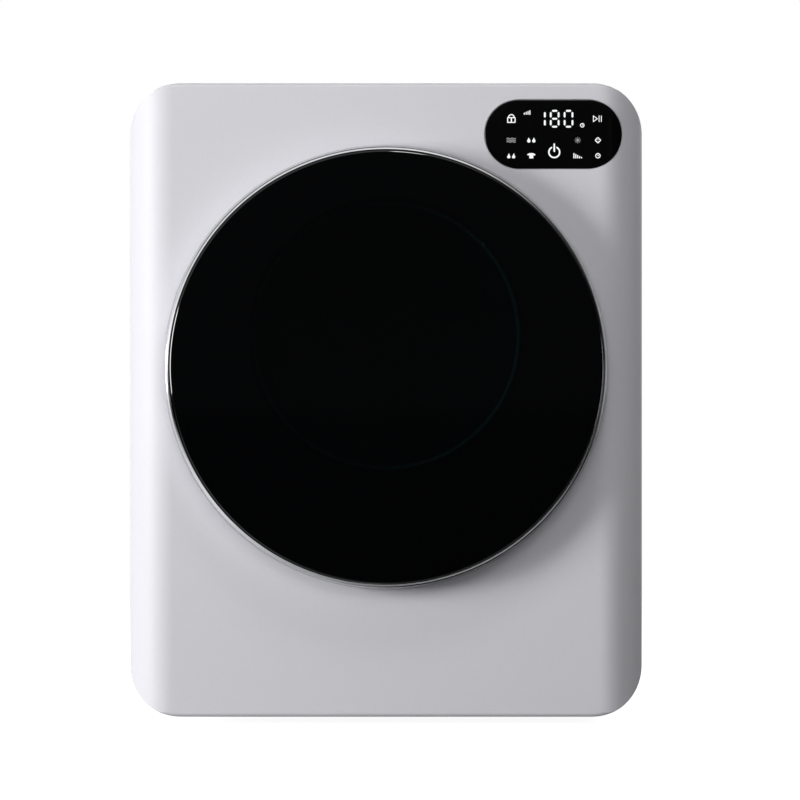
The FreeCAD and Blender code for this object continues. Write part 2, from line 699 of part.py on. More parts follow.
def exhaust_collar():
    """Spigot for the exhaust hose, with a flange on the blower housing and a neck through the panel."""
    bore = COLLAR_R - COLLAR_T
    neck = COLLAR_R - COLLAR_NECK
    flange_r = COLLAR_R + COLLAR_FLANGE_W
    flange_y = BLOWER_Y1 + COLLAR_FLANGE_T
    end = BODY_D + COLLAR_OUT
    profile = [(bore, BLOWER_Y1), (flange_r, BLOWER_Y1), (flange_r, flange_y), (neck, flange_y),
               (neck, BODY_D), (COLLAR_R, BODY_D), (COLLAR_R, end), (bore, end)]
    return turned(profile, EXHAUST_X, EXHAUST_Z)


def cord_gland():
    flange_r = GLAND_R + GLAND_FLANGE_W
    flange_y = BODY_D + GLAND_FLANGE_T
    profile = [(GLAND_BORE_R, BODY_D - GLAND_IN), (GLAND_R, BODY_D - GLAND_IN), (GLAND_R, BODY_D),
               (flange_r, BODY_D), (flange_r, flange_y), (GLAND_R, flange_y),
               (GLAND_BORE_R + SHEET_T, BODY_D + GLAND_OUT), (GLAND_BORE_R, BODY_D + GLAND_OUT)]
    return turned(profile, GLAND_X, GLAND_Z)


# Touch panel and display

def touch_panel():
    """Black lens that follows the front's curve and stands a little proud of it."""
    front = front_form(-PILL_PROUD, EDGE_R)
    bar = pill(0, -FRONT_R, FRONT_R)
    return rounded_pill(front.cut(front_form(PILL_SEAT, 0)).common(bar), front, bar)


def display_block(inset, y0, y1):
    reach = PILL_W / 2 - PILL_LEDGE + DISPLAY_BOX_MARGIN - inset
    rise = PILL_H / 2 - PILL_LEDGE + DISPLAY_BOX_MARGIN - inset
    return box(PILL_X - reach, PILL_X + reach, y0, y1, PILL_Z - rise, PILL_Z + rise)


def display_housing():
    """Open tray behind the lens, cut to the back of the moulded front."""
    block = display_block(0, 0, FASCIA_T + DISPLAY_BOX_D).common(front_form(FASCIA_T, 0))
    return block.cut(display_block(DISPLAY_BOX_T, 0, FASCIA_T + DISPLAY_BOX_D - DISPLAY_BOX_T))


def display_board():
    """Printed board in the tray, with the lit display module in front and parts behind."""
    y0 = FASCIA_T + BOARD_ROOM
    inside = front_form(FASCIA_T + DISPLAY_BOX_T, 0)
    board = display_block(DISPLAY_BOX_T + SCREW_FIT, y0, y0 + BOARD_T).common(inside)
    module = display_block(MODULE_IN, y0 - MODULE_T, y0)
    back_y = FASCIA_T + DISPLAY_BOX_D - DISPLAY_BOX_T
    legs = []
    for side in (-1, 1):
        x = PILL_X + side * DISPLAY_LEG_X
        legs.append(rod(CONTROL_POST_R, y0 + BOARD_T, back_y, x, PILL_Z))
    chip = box(PILL_X - PILL_LEDGE, PILL_X + PILL_LEDGE, y0 + BOARD_T, y0 + 2 * BOARD_T,
               PILL_Z - PILL_LEDGE, PILL_Z + PILL_LEDGE)
    return joined(board, module, chip, *legs)


# Door

def hinge_notch():
    return box(HINGE_X - NOTCH_LEFT, HINGE_X + NOTCH_RIGHT, HINGE_Y - NOTCH_FRONT, 0,
               DOOR_Z - NOTCH_HALF, DOOR_Z + NOTCH_HALF)


def door_ring():
    """Bright ring that holds the glass: a rounded lip, and a wall that leans out towards the back."""
    back = -DOOR_GAP
    bend = 1 - math.sqrt(0.5)
    steps = [(RING_IN_R, back), (RING_R - RING_BACK_IN, back),
             (RING_R - bend * RING_BACK_IN, back - bend * RING_WIDEST, RING_R, back - RING_WIDEST),
             (RING_FRONT_R, RING_FRONT_Y + RING_LIP_ROUND),
             (GLASS_R + RING_LIP / 2, RING_FRONT_Y - RING_LIP_PROUD, GLASS_R, RING_FRONT_Y),
             (GLASS_R, SHELF_Y), (RING_IN_R - RING_SHELF_W, SHELF_Y),
             (RING_IN_R - RING_SHELF_W, SHELF_BACK_Y), (RING_IN_R, SHELF_BACK_Y)]
    ring = turned_path(steps, 0, DOOR_Z).cut(hinge_notch())
    bite = DOOR_SCREW_R + SCREW_FIT
    return drilled(ring, door_screw_places(), SHELF_Y + RING_SHELF_T / 4, SHELF_BACK_Y, bite)


def door_glass():
    """Smoked glass disc with a slight crown."""
    radius = GLASS_R - GLASS_FIT
    sphere_r = (radius ** 2 + GLASS_CROWN ** 2) / (2 * GLASS_CROWN)
    half_y = DOOR_FRONT + sphere_r - math.sqrt(sphere_r ** 2 - (radius / 2) ** 2)
    steps = [(0, SHELF_Y), (0, DOOR_FRONT), (radius / 2, half_y, radius, RING_FRONT_Y), (radius, SHELF_Y)]
    return turned_path(steps, 0, DOOR_Z)


def door_frame():
    """Inner door moulding: back plate, rim, the plug collar that enters the mouth, and clamp posts."""
    plate = rod(FRAME_R, FRAME_Y, -DOOR_GAP, 0, DOOR_Z)
    rim = tube(FRAME_R - FRAME_RIM_W, FRAME_R, SHELF_BACK_Y, -DOOR_GAP, 0, DOOR_Z)
    seat = rod(BOWL_HOLE_R + FRAME_T, BOWL_SEAT_Y, -DOOR_GAP, 0, DRUM_Z)
    wall = tube(PLUG_R - FRAME_T, PLUG_R, FRAME_Y, PLUG_END, 0, DRUM_Z)
    face = rod(PLUG_R, PLUG_END - FRAME_T, PLUG_END, 0, DRUM_Z)
    posts = [rod(POST_R, BOWL_RIM_Y, FRAME_Y + FRAME_T / 2, x, z) for x, z in clamp_places()]
    frame = joined(plate, rim, seat, wall, face, *posts)
    frame = frame.cut([rod(BOWL_HOLE_R, DOOR_FRONT, BOWL_DEPTH, 0, DRUM_Z), hinge_notch()])
    frame = drilled(frame, clamp_places(), BOWL_RIM_Y - CLAMP_T, CLAMP_Y + SCREW_L + SCREW_FIT)
    frame = drilled(frame, leaf_places(), FRAME_Y - FRAME_T, 0)
    frame = drilled(frame, door_screw_places(), DOOR_FRONT, 0, DOOR_SCREW_R + SCREW_FIT)
    sink_r = DOOR_SCREW_HEAD_R + SCREW_FIT
    return drilled(frame, door_screw_places(), -DOOR_GAP - DOOR_SCREW_HEAD_H, 0, sink_r)


def door_bowl():
    """Clear bowl that keeps the load off the glass."""
    end_r = BOWL_R - BOWL_TAPER
    turn_r = end_r - BOWL_ROUND
    turn_y = BOWL_DEPTH - BOWL_ROUND
    diagonal = BOWL_ROUND * math.sqrt(0.5)
    inner_diagonal = (BOWL_ROUND - BOWL_T) * math.sqrt(0.5)
    flange_r = BOWL_R + BOWL_FLANGE_W
    steps = [(0, BOWL_DEPTH - BOWL_T), (0, BOWL_DEPTH), (turn_r, BOWL_DEPTH),
             (turn_r + diagonal, turn_y + diagonal, end_r, turn_y), (BOWL_R, BOWL_SEAT_Y),
             (flange_r, BOWL_SEAT_Y), (flange_r, BOWL_RIM_Y), (BOWL_R - BOWL_T, BOWL_RIM_Y),
             (end_r - BOWL_T, turn_y),
             (turn_r + inner_diagonal, turn_y + inner_diagonal, turn_r, BOWL_DEPTH - BOWL_T)]
    return turned_path(steps, 0, DRUM_Z)


def bowl_clamp_ring():
    ring = tube(BOWL_R - BOWL_T, BOWL_R + POST_OFFSET + POST_R, CLAMP_Y, BOWL_RIM_Y, 0, DRUM_Z)
    return drilled(ring, clamp_places(), DOOR_FRONT, 0)


def door_screws():
    """Screws of the door's rim, of the bowl's clamp ring and of the hinge leaf."""
    face = -DOOR_GAP - DOOR_SCREW_HEAD_H
    length = face - SHELF_BACK_Y + RING_SHELF_T / 2
    solids = [screw(x, z, face, -1, length, DOOR_SCREW_R, DOOR_SCREW_HEAD_R, DOOR_SCREW_HEAD_H)
              for x, z in door_screw_places()]
    solids += [screw(x, z, CLAMP_Y, 1) for x, z in clamp_places()]
    solids += [screw(x, z, FRAME_Y - LEAF_T, 1, LEAF_SCREW_L) for x, z in leaf_places()]
    return Part.makeCompound(solids)


def hinge_leaf():
    """Leaf on the back plate inside the door, with its knuckle on the hinge line."""
    y0 = FRAME_Y - LEAF_T
    half = KNUCKLE_H / 2
    neck = box(HINGE_X, HINGE_X + LEAF_REACH, y0, FRAME_Y, DOOR_Z - half, DOOR_Z + half)
    plate = box(HINGE_X + NOTCH_RIGHT + EAR_GAP, HINGE_X + LEAF_REACH, y0, FRAME_Y,
                DOOR_Z - LEAF_H / 2, DOOR_Z + LEAF_H / 2)
    knuckle = post(KNUCKLE_R, DOOR_Z - half, DOOR_Z + half, HINGE_X, HINGE_Y)
    leaf = joined(plate, neck, knuckle)
    leaf = leaf.cut(post(PIN_R + PIN_FIT, DOOR_Z - KNUCKLE_H, DOOR_Z + KNUCKLE_H, HINGE_X, HINGE_Y))
    return drilled(leaf, leaf_places(), y0 - LEAF_T, FRAME_Y + LEAF_T)


def hinge_bracket():
    """Fixed half of the hinge: a plate on the face with two ears."""
    plate = box(HINGE_X + KNUCKLE_R + EAR_GAP, HINGE_X + BRACKET_REACH, -BRACKET_T, 0,
                DOOR_Z - HINGE_HALF, DOOR_Z + HINGE_HALF)
    web_x = HINGE_X + NOTCH_RIGHT - BRACKET_T
    corners = [V(HINGE_X - KNUCKLE_R, HINGE_Y, 0), V(HINGE_X + KNUCKLE_R, HINGE_Y, 0),
               V(web_x, -BRACKET_T, 0), V(web_x, 0, 0), V(HINGE_X + EAR_GAP, 0, 0)]
    web = Part.Face(Part.makePolygon(corners + corners[:1]))
    ears = []
    for z in (DOOR_Z - HINGE_HALF, DOOR_Z + HINGE_HALF - EAR_H):
        ear = web.extrude(V(0, 0, EAR_H))
        ear.translate(V(0, 0, z))
        ears.append(ear)
        ears.append(post(KNUCKLE_R, z, z + EAR_H, HINGE_X, HINGE_Y))
    bracket = joined(plate, *ears)
    bore = post(PIN_R + PIN_FIT, DOOR_Z - 2 * HINGE_HALF, DOOR_Z + 2 * HINGE_HALF, HINGE_X, HINGE_Y)
    sinks = [flush_screw(x, z, SCREW_FIT) for x, z in bracket_places()]
    return bracket.cut([bore] + sinks)


def flush_screw(x, z, grow):
    """A countersunk screw whose head is level with the bracket plate."""
    head = Part.makeCone(SCREW_HEAD_R + grow, SCREW_R + grow, FLUSH_HEAD_H, V(x, -BRACKET_T, z), V(0, 1, 0))
    return joined(head, rod(SCREW_R + grow, -BRACKET_T, SCREW_L - BRACKET_T, x, z))


def hinge_pin():
    pin = post(PIN_R, DOOR_Z - HINGE_HALF, DOOR_Z + HINGE_HALF, HINGE_X, HINGE_Y)
    top = post(PIN_HEAD_R, DOOR_Z + HINGE_HALF, DOOR_Z + HINGE_HALF + PIN_HEAD_H, HINGE_X, HINGE_Y)
    low = post(PIN_HEAD_R, DOOR_Z - HINGE_HALF - PIN_HEAD_H, DOOR_Z - HINGE_HALF, HINGE_X, HINGE_Y)
    return joined(pin, top, low)


def catch_block(y0, y1, grow):
    half_w = CATCH_W / 2 + grow
    half_h = CATCH_H / 2 + grow
    return box(CATCH_X - half_w, CATCH_X + half_w, y0, y1, DOOR_Z - half_h, DOOR_Z + half_h)


def catch_magnet():
    return joined(catch_block(-CATCH_PROUD, CATCH_D, 0), catch_block(-CATCH_PROUD, 0, CATCH_RIM))


def strike_plate():
    return catch_block(-DOOR_GAP, -DOOR_GAP + STRIKE_T, CATCH_RIM)


def switch_body():
    half = SWITCH_W / 2
    bore_end = PLUNGER_TIP + PLUNGER_L + PLUNGER_TRAVEL + RUN_GAP
    block = box(CATCH_X - half, CATCH_X + half, FASCIA_T, bore_end + FASCIA_T,
                SWITCH_Z - half, SWITCH_Z + half)
    return block.cut(rod(PLUNGER_R + PIN_FIT, 0, bore_end, CATCH_X, SWITCH_Z))


def switch_plunger():
    return rod(PLUNGER_R, PLUNGER_TIP, PLUNGER_TIP + PLUNGER_L, CATCH_X, SWITCH_Z)


# Front carrier of the drum

def face_gasket():
    inner = MOUTH_R + GASKET_IN
    return tube(inner, inner + GASKET_W, -GASKET_T, 0, 0, DRUM_Z)


def mouth_ring():
    end = DRUM_Y0 + MOUTH_REACH
    flange_r = MOUTH_OUT_R + MOUTH_FLANGE_W
    profile = [(MOUTH_R, FASCIA_T), (MOUTH_OUT_R, FASCIA_T), (MOUTH_OUT_R, BULKHEAD_Y - MOUTH_T),
               (flange_r, BULKHEAD_Y - MOUTH_T), (flange_r, BULKHEAD_Y), (MOUTH_OUT_R, BULKHEAD_Y),
               (MOUTH_OUT_R, end), (MOUTH_R, end)]
    return turned(profile, 0, DRUM_Z)


def front_bulkhead():
    plate = outline_bar(FASCIA_T + BULKHEAD_ROOM, BULKHEAD_Y, BULKHEAD_Y + SHEET_T)
    plate = plate.cut(rod(MOUTH_OUT_R + SCREW_FIT, 0, 2 * BULKHEAD_Y, 0, DRUM_Z))
    return drilled(plate, boss_places(), 0, 2 * BULKHEAD_Y)


def front_screws():
    """Screws of the hinge bracket and of the front bulkhead."""
    solids = []
    for x, z in bracket_places():
        recess = cross_recess(x, z, -BRACKET_T, 1, SCREW_HEAD_R, FLUSH_HEAD_H)
        solids.append(flush_screw(x, z, 0).cut(recess))
    solids += [screw(x, z, BULKHEAD_Y + SHEET_T, -1) for x, z in boss_places()]
    return Part.makeCompound(solids)


def front_felt():
    end = DRUM_Y0 + MOUTH_REACH
    return tube(MOUTH_OUT_R, MOUTH_OUT_R + FELT_T, end - FELT_W, end, 0, DRUM_Z)


# Drum

def drum_shell():
    """Drum skin with its front wall, the lip that runs on the felt, and beads beside the belt."""
    profile = [(LIP_R, DRUM_Y0 + DRUM_LIP_L), (LIP_R, DRUM_Y0), (DRUM_R, DRUM_Y0)]
    for side in (-1, 1):
        middle = BELT_Y + side * (BELT_W / 2 + BEAD_GAP + BEAD_W / 2)
        profile += [(DRUM_R, middle - BEAD_W / 2), (DRUM_R + BEAD_H, middle - BEAD_W / 4),
                    (DRUM_R + BEAD_H, middle + BEAD_W / 4), (DRUM_R, middle + BEAD_W / 2)]
    profile += [(DRUM_R, DRUM_Y1), (DRUM_IN_R, DRUM_Y1), (DRUM_IN_R, DRUM_Y0 + DRUM_T),
                (LIP_R + DRUM_T, DRUM_Y0 + DRUM_T), (LIP_R + DRUM_T, DRUM_Y0 + DRUM_LIP_L)]
    return turned(profile, 0, DRUM_Z)


def drum_back():
    plate = rod(DRUM_R, DRUM_Y1, DRUM_BACK_Y, 0, DRUM_Z)
    for ring_r, count in zip(PERF_RADII, PERF_COUNTS):
        plate = drilled(plate, around(count, ring_r, 0, DRUM_Z), 0, BODY_D, PERF_R)
    plate = drilled(plate, around(VENT_COUNT, VENT_RING_R, 0, DRUM_Z), 0, BODY_D, VENT_R)
    return drilled(plate, [(0, DRUM_Z)], 0, BODY_D, STUD_R + SCREW_FIT)


def drum_shaft():
    """Flanged shaft behind the drum, with a stud through the drum back."""
    end = AIR_Y + SPIDER_HUB_L + SHAFT_TAIL
    flange_y = DRUM_BACK_Y + SHAFT_FLANGE_T
    stud_y = DRUM_Y1 - SHAFT_NUT_H
    profile = [(0, stud_y), (STUD_R, stud_y), (STUD_R, DRUM_BACK_Y), (SHAFT_FLANGE_R, DRUM_BACK_Y),
               (SHAFT_FLANGE_R, flange_y), (SHAFT_R, flange_y), (SHAFT_R, end), (0, end)]
    return turned(profile, 0, DRUM_Z)


def shaft_nut():
    places = around(SHAFT_NUT_SIDES_COUNT, SHAFT_NUT_R, 0, DRUM_Z)
    corners = [V(x, DRUM_Y1 - SHAFT_NUT_H, z) for x, z in places]
    nut = Part.Face(Part.makePolygon(corners + corners[:1])).extrude(V(0, SHAFT_NUT_H, 0))
    return drilled(nut, [(0, DRUM_Z)], 0, BODY_D, STUD_R + SCREW_FIT)


def lifters():
    """Paddles on the inside of the drum, with rounded tips."""
    y0 = DRUM_Y0 + LIFTER_END_GAP
    y1 = DRUM_Y1 - LIFTER_END_GAP
    half = LIFTER_BASE_W / 2
    tip_z = DRUM_Z + DRUM_IN_R - LIFTER_H
    shoulder_z = tip_z + LIFTER_TIP_R
    places = [V(half, y0, DRUM_Z + DRUM_R), V(-half, y0, DRUM_Z + DRUM_R), V(-LIFTER_TIP_R, y0, shoulder_z),
              V(LIFTER_TIP_R, y0, shoulder_z)]
    edges = [Part.LineSegment(places[i], places[i + 1]).toShape() for i in range(2)]
    edges.append(Part.Arc(places[2], V(0, y0, tip_z), places[3]).toShape())
    edges.append(Part.LineSegment(places[3], places[0]).toShape())
    paddle = Part.Face(Part.Wire(edges)).extrude(V(0, y1 - y0, 0))
    paddle = paddle.common(rod(DRUM_IN_R - LIFTER_SEAT, y0, y1, 0, DRUM_Z))
    turn = 360.0 / LIFTER_COUNT
    axis = V(0, 0, DRUM_Z)
    return Part.makeCompound([paddle.rotated(axis, V(0, 1, 0), turn * i) for i in range(LIFTER_COUNT)])


def lint_filter():
    """Slotted cover at the middle of the drum back, with a grip."""
    y1 = DRUM_Y1 - RUN_GAP
    y0 = y1 - FILTER_H
    dish = rod(FILTER_R, y0, y1, 0, DRUM_Z).cut(rod(FILTER_R - FILTER_T, y0 + FILTER_T, y1, 0, DRUM_Z))
    grip = box(-FILTER_GRIP_W / 2, FILTER_GRIP_W / 2, y0 - FILTER_GRIP_H, y0,
               DRUM_Z - FILTER_GRIP_T / 2, DRUM_Z + FILTER_GRIP_T / 2)
    field = FILTER_R - FILTER_RIM
    count = int(field / FILTER_SLOT_PITCH)
    half = FILTER_SLOT_W / 2
    slots = []
    for i in range(-count, count + 1):
        x = i * FILTER_SLOT_PITCH
        reach = math.sqrt(field ** 2 - x ** 2)
        for low, high in ((-reach, -FILTER_BAR / 2), (FILTER_BAR / 2, reach)):
            if high - low > FILTER_SLOT_W:
                slots.append(box(x - half, x + half, y0 - FILTER_T, y0 + 2 * FILTER_T,
                                 DRUM_Z + low, DRUM_Z + high))
    return joined(dish, grip).cut(slots)


# Rear carrier of the drum

def hot_window(y0, y1):
    x0 = HEATER_X + DUCT_T + HOT_EDGE
    z0 = HEATER_Z + DUCT_T + HOT_EDGE
    return box(x0, x0 + HOT_WINDOW, y0, y1, z0, z0 + HOT_WINDOW)


def rear_bulkhead():
    """Sheet wall behind the drum, with a skirt that lies inside the wrap."""
    edge = WRAP_IN + REAR_FIT
    end = AIR_Y + REAR_SKIRT_L
    dish = outline_bar(edge, REAR_Y, end).cut(outline_bar(edge + SHEET_T, AIR_Y, end))
    centre = rod(CENTRE_HOLE_R, REAR_Y - SHEET_T, end, 0, DRUM_Z)
    shaft = rod(MOTOR_SHAFT_R + MOTOR_HOLE_GAP, REAR_Y - SHEET_T, end, MOTOR_X, MOTOR_Z)
    return dish.cut([centre, shaft, hot_window(REAR_Y - SHEET_T, end)])


def rear_felt():
    return tube(REAR_FELT_IN, REAR_FELT_IN + REAR_FELT_W, REAR_Y - REAR_FELT_T, REAR_Y, 0, DRUM_Z)


def bearing_spider():
    """Cast carrier over the middle hole: a ring, three arms and the hub for the bush."""
    bush_r = SHAFT_R + SHAFT_FIT + BUSH_T
    ring = tube(SPIDER_RING_IN, SPIDER_RING_OUT, AIR_Y, AIR_Y + SPIDER_T, 0, DRUM_Z)
    hub = rod(bush_r + SPIDER_HUB_T, AIR_Y, AIR_Y + SPIDER_HUB_L, 0, DRUM_Z)
    arm = box(-SPIDER_ARM_W / 2, SPIDER_ARM_W / 2, AIR_Y, AIR_Y + SPIDER_T,
              DRUM_Z, DRUM_Z + SPIDER_RING_IN + SPIDER_T)
    turn = 360.0 / SPIDER_ARM_COUNT
    arms = [arm.rotated(V(0, 0, DRUM_Z), V(0, 1, 0), turn * i) for i in range(SPIDER_ARM_COUNT)]
    spider = joined(ring, hub, *arms)
    return spider.cut(rod(bush_r, 0, BODY_D, 0, DRUM_Z))


def rear_bearing():
    bore = SHAFT_R + SHAFT_FIT
    return tube(bore, bore + BUSH_T, AIR_Y, AIR_Y + SPIDER_HUB_L, 0, DRUM_Z)


# Air path

def heater_block(inset, y0, y1):
    return box(HEATER_X + inset, HEATER_X + HEATER_W - inset, y0, y1,
               HEATER_Z + inset, HEATER_Z + HEATER_H - inset)


def heater_duct():
    return heater_block(0, AIR_Y, PANEL_Y).cut(heater_block(DUCT_T, AIR_Y, PANEL_Y))


def heater_core():
    """Heating block: a frame with upright fins on two bars."""
    y0 = AIR_Y + HEATER_CORE_Y
    y1 = y0 + HEATER_CORE_D
    edge = DUCT_T + HEATER_FIT
    frame = heater_block(edge, y0, y1).cut(heater_block(edge + HEATER_FRAME_T, y0, y1))
    inner = HEATER_W - 2 * (edge + HEATER_FRAME_T)
    pitch = inner / (HEATER_FIN_COUNT + 1)
    x0 = HEATER_X + edge + HEATER_FRAME_T
    low = HEATER_Z + edge
    high = HEATER_Z + HEATER_H - edge
    fins = []
    for i in range(1, HEATER_FIN_COUNT + 1):
        x = x0 + i * pitch
        fins.append(box(x - HEATER_FIN_T / 2, x + HEATER_FIN_T / 2, y0, y1, low, high))
    bars = []
    for share in (1, 2):
        z = low + (high - low) * share / 3
        start = V(HEATER_X + edge, (y0 + y1) / 2, z)
        bars.append(Part.makeCylinder(HEATER_BAR_R, HEATER_W - 2 * edge, start, V(1, 0, 0)))
    return joined(frame, *(fins + bars))


def thermal_cutout():
    """Safety cutout on top of the heater duct, with two terminals."""
    x = HEATER_X + HEATER_W / 2
    y = AIR_Y + HEATER_CORE_Y + HEATER_CORE_D / 2
    z = HEATER_Z + HEATER_H
    tabs = []
    for side in (-1, 1):
        tab_x = x + side * CUTOUT_R / 2
        tabs.append(box(tab_x - TERMINAL_T / 2, tab_x + TERMINAL_T / 2,
                        y - TERMINAL_W / 2, y + TERMINAL_W / 2, z + CUTOUT_H, z + CUTOUT_H + TERMINAL_L))
    return joined(post(CUTOUT_R, z, z + CUTOUT_H, x, y), *tabs)


def duct_block(inset, y0, y1):
    low = MOTOR_Z - DUCT_LOWER_W + inset
    side = DUCT_HALF - inset
    riser = box(-side, side, y0, y1, low, DRUM_Z + side)
    leg = box(-side, MOTOR_X + DUCT_LOWER_W - inset, y0, y1, low, MOTOR_Z + DUCT_LOWER_W - inset)
    return joined(riser, leg)


def return_duct():
    """Flat duct on the rear bulkhead, from the drum's middle down to the blower."""
    duct = duct_block(0, AIR_Y, BLOWER_Y).cut(duct_block(DUCT_T, AIR_Y, BLOWER_Y - DUCT_T))
    return drilled(duct, [(MOTOR_X, MOTOR_Z)], AIR_Y, BODY_D, BLOWER_INLET_R)


def scroll_block(inset, y0, y1):
    edge = COLLAR_R + OUTLET_MARGIN + DUCT_T - inset
    outlet = box(EXHAUST_X - edge, MOTOR_X, y0, y1, EXHAUST_Z - edge, MOTOR_Z + BLOWER_R - inset)
    return joined(rod(BLOWER_R - inset, y0, y1, MOTOR_X, MOTOR_Z), outlet)


def blower_housing():
    inside = scroll_block(DUCT_T, BLOWER_Y + DUCT_T, BLOWER_Y1 - DUCT_T)
    housing = scroll_block(0, BLOWER_Y, BLOWER_Y1).cut(inside)
    housing = drilled(housing, [(MOTOR_X, MOTOR_Z)], 0, BLOWER_Y + BLOWER_D / 2, BLOWER_INLET_R)
    return drilled(housing, [(EXHAUST_X, EXHAUST_Z)], BLOWER_Y + BLOWER_D / 2, BODY_D, COLLAR_R - COLLAR_T)


def blower_wheel():
    """Fan wheel on the motor shaft: back plate, leaning blades, front ring and hub."""
    y0 = BLOWER_Y + DUCT_T + WHEEL_GAP
    y1 = BLOWER_Y1 - DUCT_T - WHEEL_GAP
    centre = V(MOTOR_X, 0, MOTOR_Z)
    plate = rod(WHEEL_R, y1 - WHEEL_PLATE_T, y1, MOTOR_X, MOTOR_Z)
    ring = tube(WHEEL_EYE_R, WHEEL_R, y0, y0 + WHEEL_PLATE_T, MOTOR_X, MOTOR_Z)
    hub = rod(WHEEL_HUB_R, y1 - WHEEL_HUB_L, y1, MOTOR_X, MOTOR_Z)
    blade = box(MOTOR_X + WHEEL_EYE_R, MOTOR_X + WHEEL_R - WHEEL_BLADE_T, y0, y1,
                MOTOR_Z - WHEEL_BLADE_T / 2, MOTOR_Z + WHEEL_BLADE_T / 2)
    blade = blade.rotated(V(MOTOR_X + WHEEL_EYE_R, 0, MOTOR_Z), V(0, 1, 0), WHEEL_BLADE_LEAN)
    blades = [blade.rotated(centre, V(0, 1, 0), 360.0 * i / WHEEL_BLADES) for i in range(WHEEL_BLADES)]
    wheel = joined(plate, ring, hub, *blades)
    return drilled(wheel, [(MOTOR_X, MOTOR_Z)], 0, BODY_D, MOTOR_SHAFT_R + MOTOR_SEAT_FIT)


# Drive

def motor_housing():
    can = rod(MOTOR_R, MOTOR_Y, MOTOR_Y1, MOTOR_X, MOTOR_Z)
    nose = rod(MOTOR_NOSE_R, MOTOR_Y - MOTOR_NOSE_L, MOTOR_Y1 + MOTOR_NOSE_L, MOTOR_X, MOTOR_Z)
    inside = rod(MOTOR_R - MOTOR_WALL, MOTOR_Y + MOTOR_BELL_T, MOTOR_Y1 - MOTOR_BELL_T, MOTOR_X, MOTOR_Z)
    can = joined(can, nose).cut(inside)
    return drilled(can, [(MOTOR_X, MOTOR_Z)], 0, BODY_D, MOTOR_SHAFT_R + MOTOR_SHAFT_FIT)


def motor_stator():
    outer = MOTOR_R - MOTOR_WALL - STATOR_GAP
    return tube(ROTOR_R + ROTOR_GAP, outer, MOTOR_Y + ROTOR_END, MOTOR_Y1 - ROTOR_END, MOTOR_X, MOTOR_Z)


def motor_rotor():
    """Laminated core and the shaft it is pressed on."""
    seat = MOTOR_SHAFT_R + MOTOR_SEAT_FIT
    core = tube(seat, ROTOR_R, MOTOR_Y + ROTOR_END, MOTOR_Y1 - ROTOR_END, MOTOR_X, MOTOR_Z)
    front = BELT_Y - PULLEY_W / 2 - ARM_GAP
    shaft = rod(MOTOR_SHAFT_R, front, BLOWER_Y1 - DUCT_T - WHEEL_GAP / 2, MOTOR_X, MOTOR_Z)
    return Part.makeCompound([core, shaft])


def motor_pulley():
    return tube(MOTOR_SHAFT_R + MOTOR_SEAT_FIT, PULLEY_R, BELT_Y - PULLEY_W / 2, BELT_Y + PULLEY_W / 2,
                MOTOR_X, MOTOR_Z)


def motor_cradle():
    """Bracket on the tray floor with two saddles under the motor."""
    half = CRADLE_W / 2
    y0 = MOTOR_Y + SADDLE_IN
    y1 = MOTOR_Y1 - SADDLE_IN
    plate = box(MOTOR_X - half, MOTOR_X + half, y0, y1, FLOOR_Z, FLOOR_Z + CRADLE_T)
    saddles = [box(MOTOR_X - half, MOTOR_X + half, y, y + SADDLE_T, FLOOR_Z, MOTOR_Z - SADDLE_DROP)
               for y in (y0, y1 - SADDLE_T)]
    return drilled(joined(plate, *saddles), [(MOTOR_X, MOTOR_Z)], 0, BODY_D, MOTOR_R + SADDLE_FIT)


def belt_bar(grow):
    """The belt's loop round the drum, the idler and the motor pulley, filled in, as a bar along Y."""
    y0 = BELT_Y - BELT_W / 2
    wheels = [(0, DRUM_Z, DRUM_R + grow), (IDLER_X, IDLER_Z, IDLER_R + grow),
              (MOTOR_X, MOTOR_Z, PULLEY_R + grow)]
    normals = []
    for i, (x, z, radius) in enumerate(wheels):
        next_x, next_z, next_r = wheels[(i + 1) % len(wheels)]
        length = math.hypot(next_x - x, next_z - z)
        ux = (next_x - x) / length
        uz = (next_z - z) / length
        along = (radius - next_r) / length
        across = math.sqrt(1 - along ** 2)
        normals.append((along * ux + across * uz, along * uz - across * ux))
    edges = []
    for i, (x, z, radius) in enumerate(wheels):
        first = normals[i - 1]
        last = normals[i]
        start = math.atan2(first[1], first[0])
        sweep = (math.atan2(last[1], last[0]) - start) % (2 * math.pi)
        arc = [V(x + radius * math.cos(start + sweep * t), y0, z + radius * math.sin(start + sweep * t))
               for t in (0, 0.5, 1)]
        edges.append(Part.Arc(arc[0], arc[1], arc[2]).toShape())
        next_x, next_z, next_r = wheels[(i + 1) % len(wheels)]
        end = V(next_x + next_r * last[0], y0, next_z + next_r * last[1])
        edges.append(Part.LineSegment(arc[2], end).toShape())
    return Part.Face(Part.Wire(edges)).extrude(V(0, BELT_W, 0))


def drive_belt():
    return belt_bar(RUN_GAP + BELT_T).cut(belt_bar(RUN_GAP))


def idler_bracket():
    """Upright on the tray floor with the pivot pin of the idler arm."""
    half = BRACKET_W / 2
    upright = box(PIVOT_X - half, PIVOT_X + half, BRACKET_Y, BRACKET_Y + BRACKET_PLATE_T,
                  FLOOR_Z, PIVOT_Z + ARM_W / 2)
    foot = box(PIVOT_X - half, PIVOT_X + half, BRACKET_Y, BRACKET_Y + BRACKET_FOOT,
               FLOOR_Z, FLOOR_Z + CRADLE_T)
    pin = rod(PIVOT_R, ARM_Y - ARM_GAP / 2, BRACKET_Y, PIVOT_X, PIVOT_Z)
    shoulder = rod(ARM_W / 2, ARM_Y + ARM_T + RUN_GAP, BRACKET_Y, PIVOT_X, PIVOT_Z)
    return joined(upright, foot, pin, shoulder)


